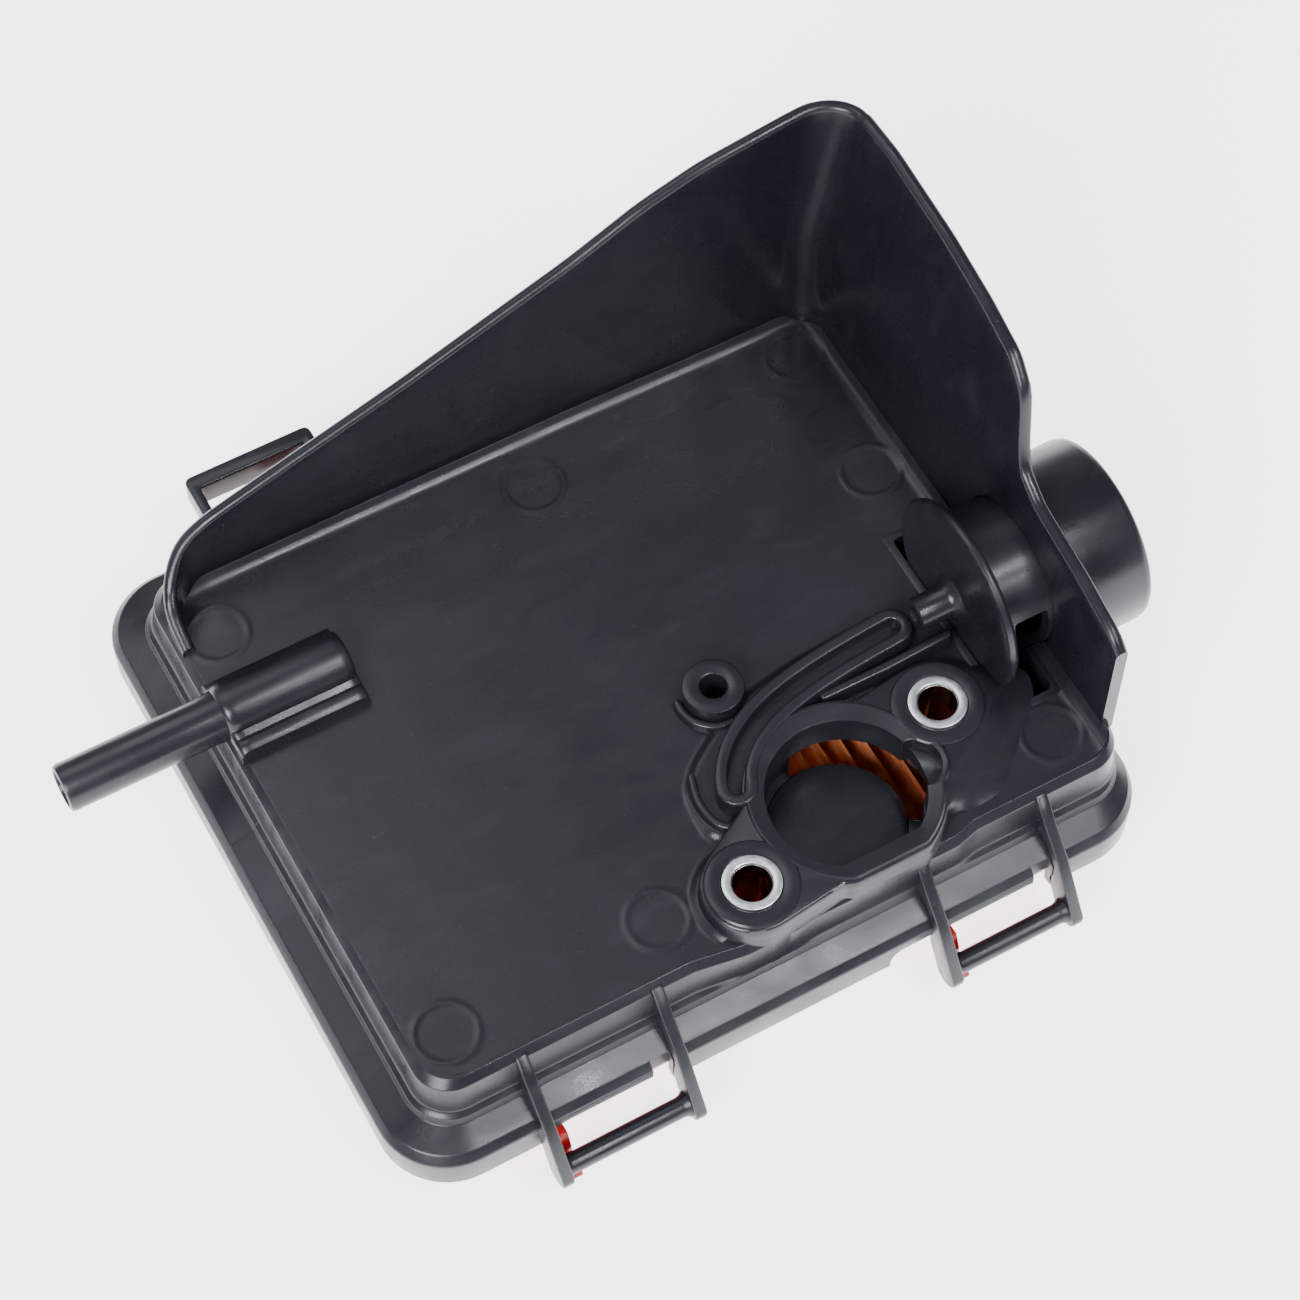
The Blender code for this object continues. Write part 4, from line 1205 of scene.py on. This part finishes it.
# %% Hinge hooks and latch tongues of the cover
for side in ("left", "right"):
    low, high = corners_of(f"cover_hinge_arm_{side}")
    outline = arc(HINGE_Y, HINGE_Z, BAR_R + 1.55, 242, 345, 14)
    outline += [(-5.8, -21.4), (-4.9, -21.2), (-4.9, -16.4), (-6.0, -16.2), (-8.6, -16.2)]
    outline += arc(HINGE_Y, HINGE_Z, BAR_R + 0.45, 375, 242, 14)
    hook = slab(f"cover_hook_{side}", outline, low.x, high.x, "X", 0.2)
    keep(hook, RED, "red_cover_plastic", "cover", f"cover_hinge_arm_{side}")

    low, high = corners_of(f"cover_latch_tongue_{side}")
    outline = rounded([(104.9, -18.7, 0), (104.0, -21.0, 0), (114.1, -21.1, 1.6),
                       (114.2, -9.0, 0.3), (113.4, -6.4, 0.5), (112.2, -6.4, 0.5),
                       (112.2, -18.7, 1.2)])
    tongue = slab(f"cover_tongue_{side}", outline, low.x, high.x, "X", 0.3)
    keep(tongue, RED, "red_cover_plastic", "cover", f"cover_latch_tongue_{side}")

# %% [markdown]
# ## The filter
# The element is a soft orange frame that seals against the tray, paper folded into pleats, and
# a steel wire backing. Pleats and wires both repeat at a fixed pitch, so both come from node
# trees: the pleats from a grid whose rows go up and down, the wires from the bar tree.

# %% Seal frame
low, high = corners_of("filter_seal_frame")
seal_outline = rounded([(low.x, low.y, 4), (high.x, low.y, 4), (high.x, high.y, 4),
                        (low.x, high.y, 4)], steps=6)
seal = slab("filter_seal", seal_outline, low.z, high.z, "Z", 0.8, 3)
carve(seal, block("cutter", (6.0, 6.0, -30), (111.0, 97.0, 0)))
keep(seal, SEAL, "orange_seal", "base", "filter_seal_frame")

# %% Pleats from a grid
ROW_POINTS = 5      # points along each fold line


def pleated_sheet(name, low, high, folds, finish):
    """A grid with one row per fold line; every other row is lifted."""
    size = (high - low) * MM
    tree, given, settings = new_tree(name, (
        ("Fold lines", "Int", folds), ("Width", "Float", size.x), ("Length", "Float", size.y),
        ("Depth", "Float", size.z)))
    grid = tree.nodes.new("GeometryNodeMeshGrid")
    grid.inputs["Vertices Y"].default_value = ROW_POINTS
    index = tree.nodes.new("GeometryNodeInputIndex")
    row, whole, odd, lift = (tree.nodes.new("ShaderNodeMath") for _ in range(4))
    for node, operation in ((row, "DIVIDE"), (whole, "FLOOR"), (odd, "PINGPONG"),
                            (lift, "MULTIPLY")):
        node.operation = operation
    row.inputs[1].default_value, odd.inputs[1].default_value = ROW_POINTS, 1.0
    offset = tree.nodes.new("ShaderNodeCombineXYZ")
    move = tree.nodes.new("GeometryNodeSetPosition")
    link_all(tree, (given["Fold lines"], grid.inputs["Vertices X"]),
             (given["Width"], grid.inputs["Size X"]), (given["Length"], grid.inputs["Size Y"]),
             (index.outputs[0], row.inputs[0]), (row.outputs[0], whole.inputs[0]),
             (whole.outputs[0], odd.inputs[0]), (odd.outputs[0], lift.inputs[0]),
             (given["Depth"], lift.inputs[1]), (lift.outputs[0], offset.inputs["Z"]),
             (grid.outputs["Mesh"], move.inputs["Geometry"]),
             (offset.outputs[0], move.inputs["Offset"]))
    sheet = run_tree(tree, move.outputs["Geometry"], finish, settings)
    middle = at((low.x + high.x) / 2, (low.y + high.y) / 2, low.z)
    for vert in sheet.data.vertices:
        vert.co += middle
    return sheet


print("pleat tree ready")

# %% Fold the paper
paper_low, paper_high = corners_of("filter_pleats")
pleats = pleated_sheet("filter_pleat_pack", paper_low + Vector((0.4, 0, 0.5)),
                       paper_high - Vector((0.4, 0, 0.5)), 61, PAPER)
thickness = pleats.modifiers.new("paper", "SOLIDIFY")
thickness.thickness = 0.45 * MM
thickness.offset = 0.0
baked(pleats)
keep(pleats, PAPER, "filter_paper", "base", "filter_pleats", angle=25)

# %% Wire backing
mesh_low, mesh_high = corners_of("filter_mesh")
WIRE, PITCH = 0.3, 2.4
spans = mesh_high - mesh_low
for label, run, lift, nodes in (("long", 0, 0.13, ()), ("cross", 1, 0.37, ("filter_mesh",))):
    span = spans[1 - run]                 # the wires run one way and repeat the other way
    count = int(span / PITCH)
    start, step = (mesh_low + mesh_high) / 2, Vector((0, 0, 0))
    start[1 - run], step[1 - run] = mesh_low[1 - run] + span / count / 2, span / count * MM
    size = Vector((WIRE, WIRE, 0.22)) * MM
    size[run] = spans[run] * MM
    wires = repeating_bars(f"filter_wires_{label}", at(start.x, start.y, mesh_low.z + lift), step,
                           count, size, STEEL)
    keep(wires, STEEL, "zinc_steel", "base", *nodes)

# %% [markdown]
# ## Floor, light and camera
# The part lies on a white table in even, soft light. Black plastic shows mostly what it
# reflects, so each light is placed for one reflection: a weak, wide one for the sheen on the
# left of the plate, two softboxes for the left flange and shoulder, a small window for the
# front shoulder, and a long thin lamp for the bright line along everything round that lies
# along X.

# %% Table and world
def soft_white(name, value, roughness, glow):
    """White sheet lit from behind, as on a light table."""
    made, tree, shader, where = new_material(name)
    cloud = noise_on(tree, where, 4.0, 2.0)
    ramp_into(tree, shader, "Base Color", cloud, (0.3, (value * 0.985,)), (0.7, (value,)))
    shader.inputs["Roughness"].default_value = roughness
    shader.inputs["Emission Color"].default_value = (1.0, 1.0, 1.0, 1.0)
    shader.inputs["Emission Strength"].default_value = glow
    return made


bpy.ops.mesh.primitive_plane_add(size=8.0, location=(0, 0, cad_box[0][2] - 0.0002))
table = bpy.context.object
table.name = "table_top"
TABLE_WHITE, TABLE_ROUGHNESS, TABLE_GLOW = 0.93, 0.6, 2.7
table.data.materials.append(soft_white("table_white", TABLE_WHITE, TABLE_ROUGHNESS, TABLE_GLOW))

world = bpy.data.worlds.new("studio_world")
bpy.context.scene.world = world
world.use_nodes = True
sky = world.node_tree.nodes["Background"]
sky.inputs["Color"].default_value = (0.88, 0.90, 1.0, 1.0)
sky.inputs["Strength"].default_value = 0.50


print("table and world ready")

# %% Lights
def area_light(name, direction, distance, size, power):
    """A soft light that faces the part from a direction."""
    data = bpy.data.lights.new(name, "AREA")
    data.shape = "RECTANGLE"
    data.size, data.size_y = size
    data.energy = power
    data.color = (0.94, 0.95, 1.0)
    lamp = bpy.data.objects.new(name, data)
    bpy.context.scene.collection.objects.link(lamp)
    lamp.location = Vector(direction).normalized() * distance
    lamp.rotation_euler = (-lamp.location).to_track_quat("-Z", "Y").to_euler()
    return lamp


area_light("softbox_left_front", (-0.62, -0.45, 0.64), 1.3, (0.6, 0.6), 24.0)
area_light("softbox_left_back", (-0.58, 0.50, 0.64), 1.3, (0.6, 0.5), 1.6)
area_light("sheen_left", (-0.12, 0.46, 0.88), 1.5, (0.7, 0.8), 4.4)
area_light("window_front", (0.25, -0.66, 0.70), 1.2, (0.26, 0.10), 3.2)
area_light("strip_lamp", (0.22, -0.42, 0.87), 1.2, (0.42, 0.05), 7.0)
print("lights:", [lamp.name for lamp in bpy.data.lights])

# %% [markdown]
# The camera looks down on the plate from the front left. A long lens keeps parallel edges
# nearly parallel, and the camera's place is given by an azimuth, an elevation and a distance.

# %% Camera
AZIMUTH, ELEVATION, DISTANCE = -28.97, 59.29, 0.55675
LOOK_AT = at(64.98, 51.25, 0.0)
LENS = 97.38
az, el = radians(AZIMUTH), radians(ELEVATION)
camera = bpy.data.objects.new("camera", bpy.data.cameras.new("camera"))
bpy.context.scene.collection.objects.link(camera)
camera.data.lens = LENS
camera.data.sensor_width = 36.0
camera.location = LOOK_AT + DISTANCE * Vector((sin(az) * cos(el), -cos(az) * cos(el), sin(el)))
camera.rotation_euler = (LOOK_AT - camera.location).to_track_quat("-Z", "Y").to_euler()
bpy.context.scene.camera = camera
print("camera at", [round(v, 3) for v in camera.location])

# %% [markdown]
# Last, the number of kept pieces is printed.

# %% Count of pieces
print("pieces kept:", len(KEPT))
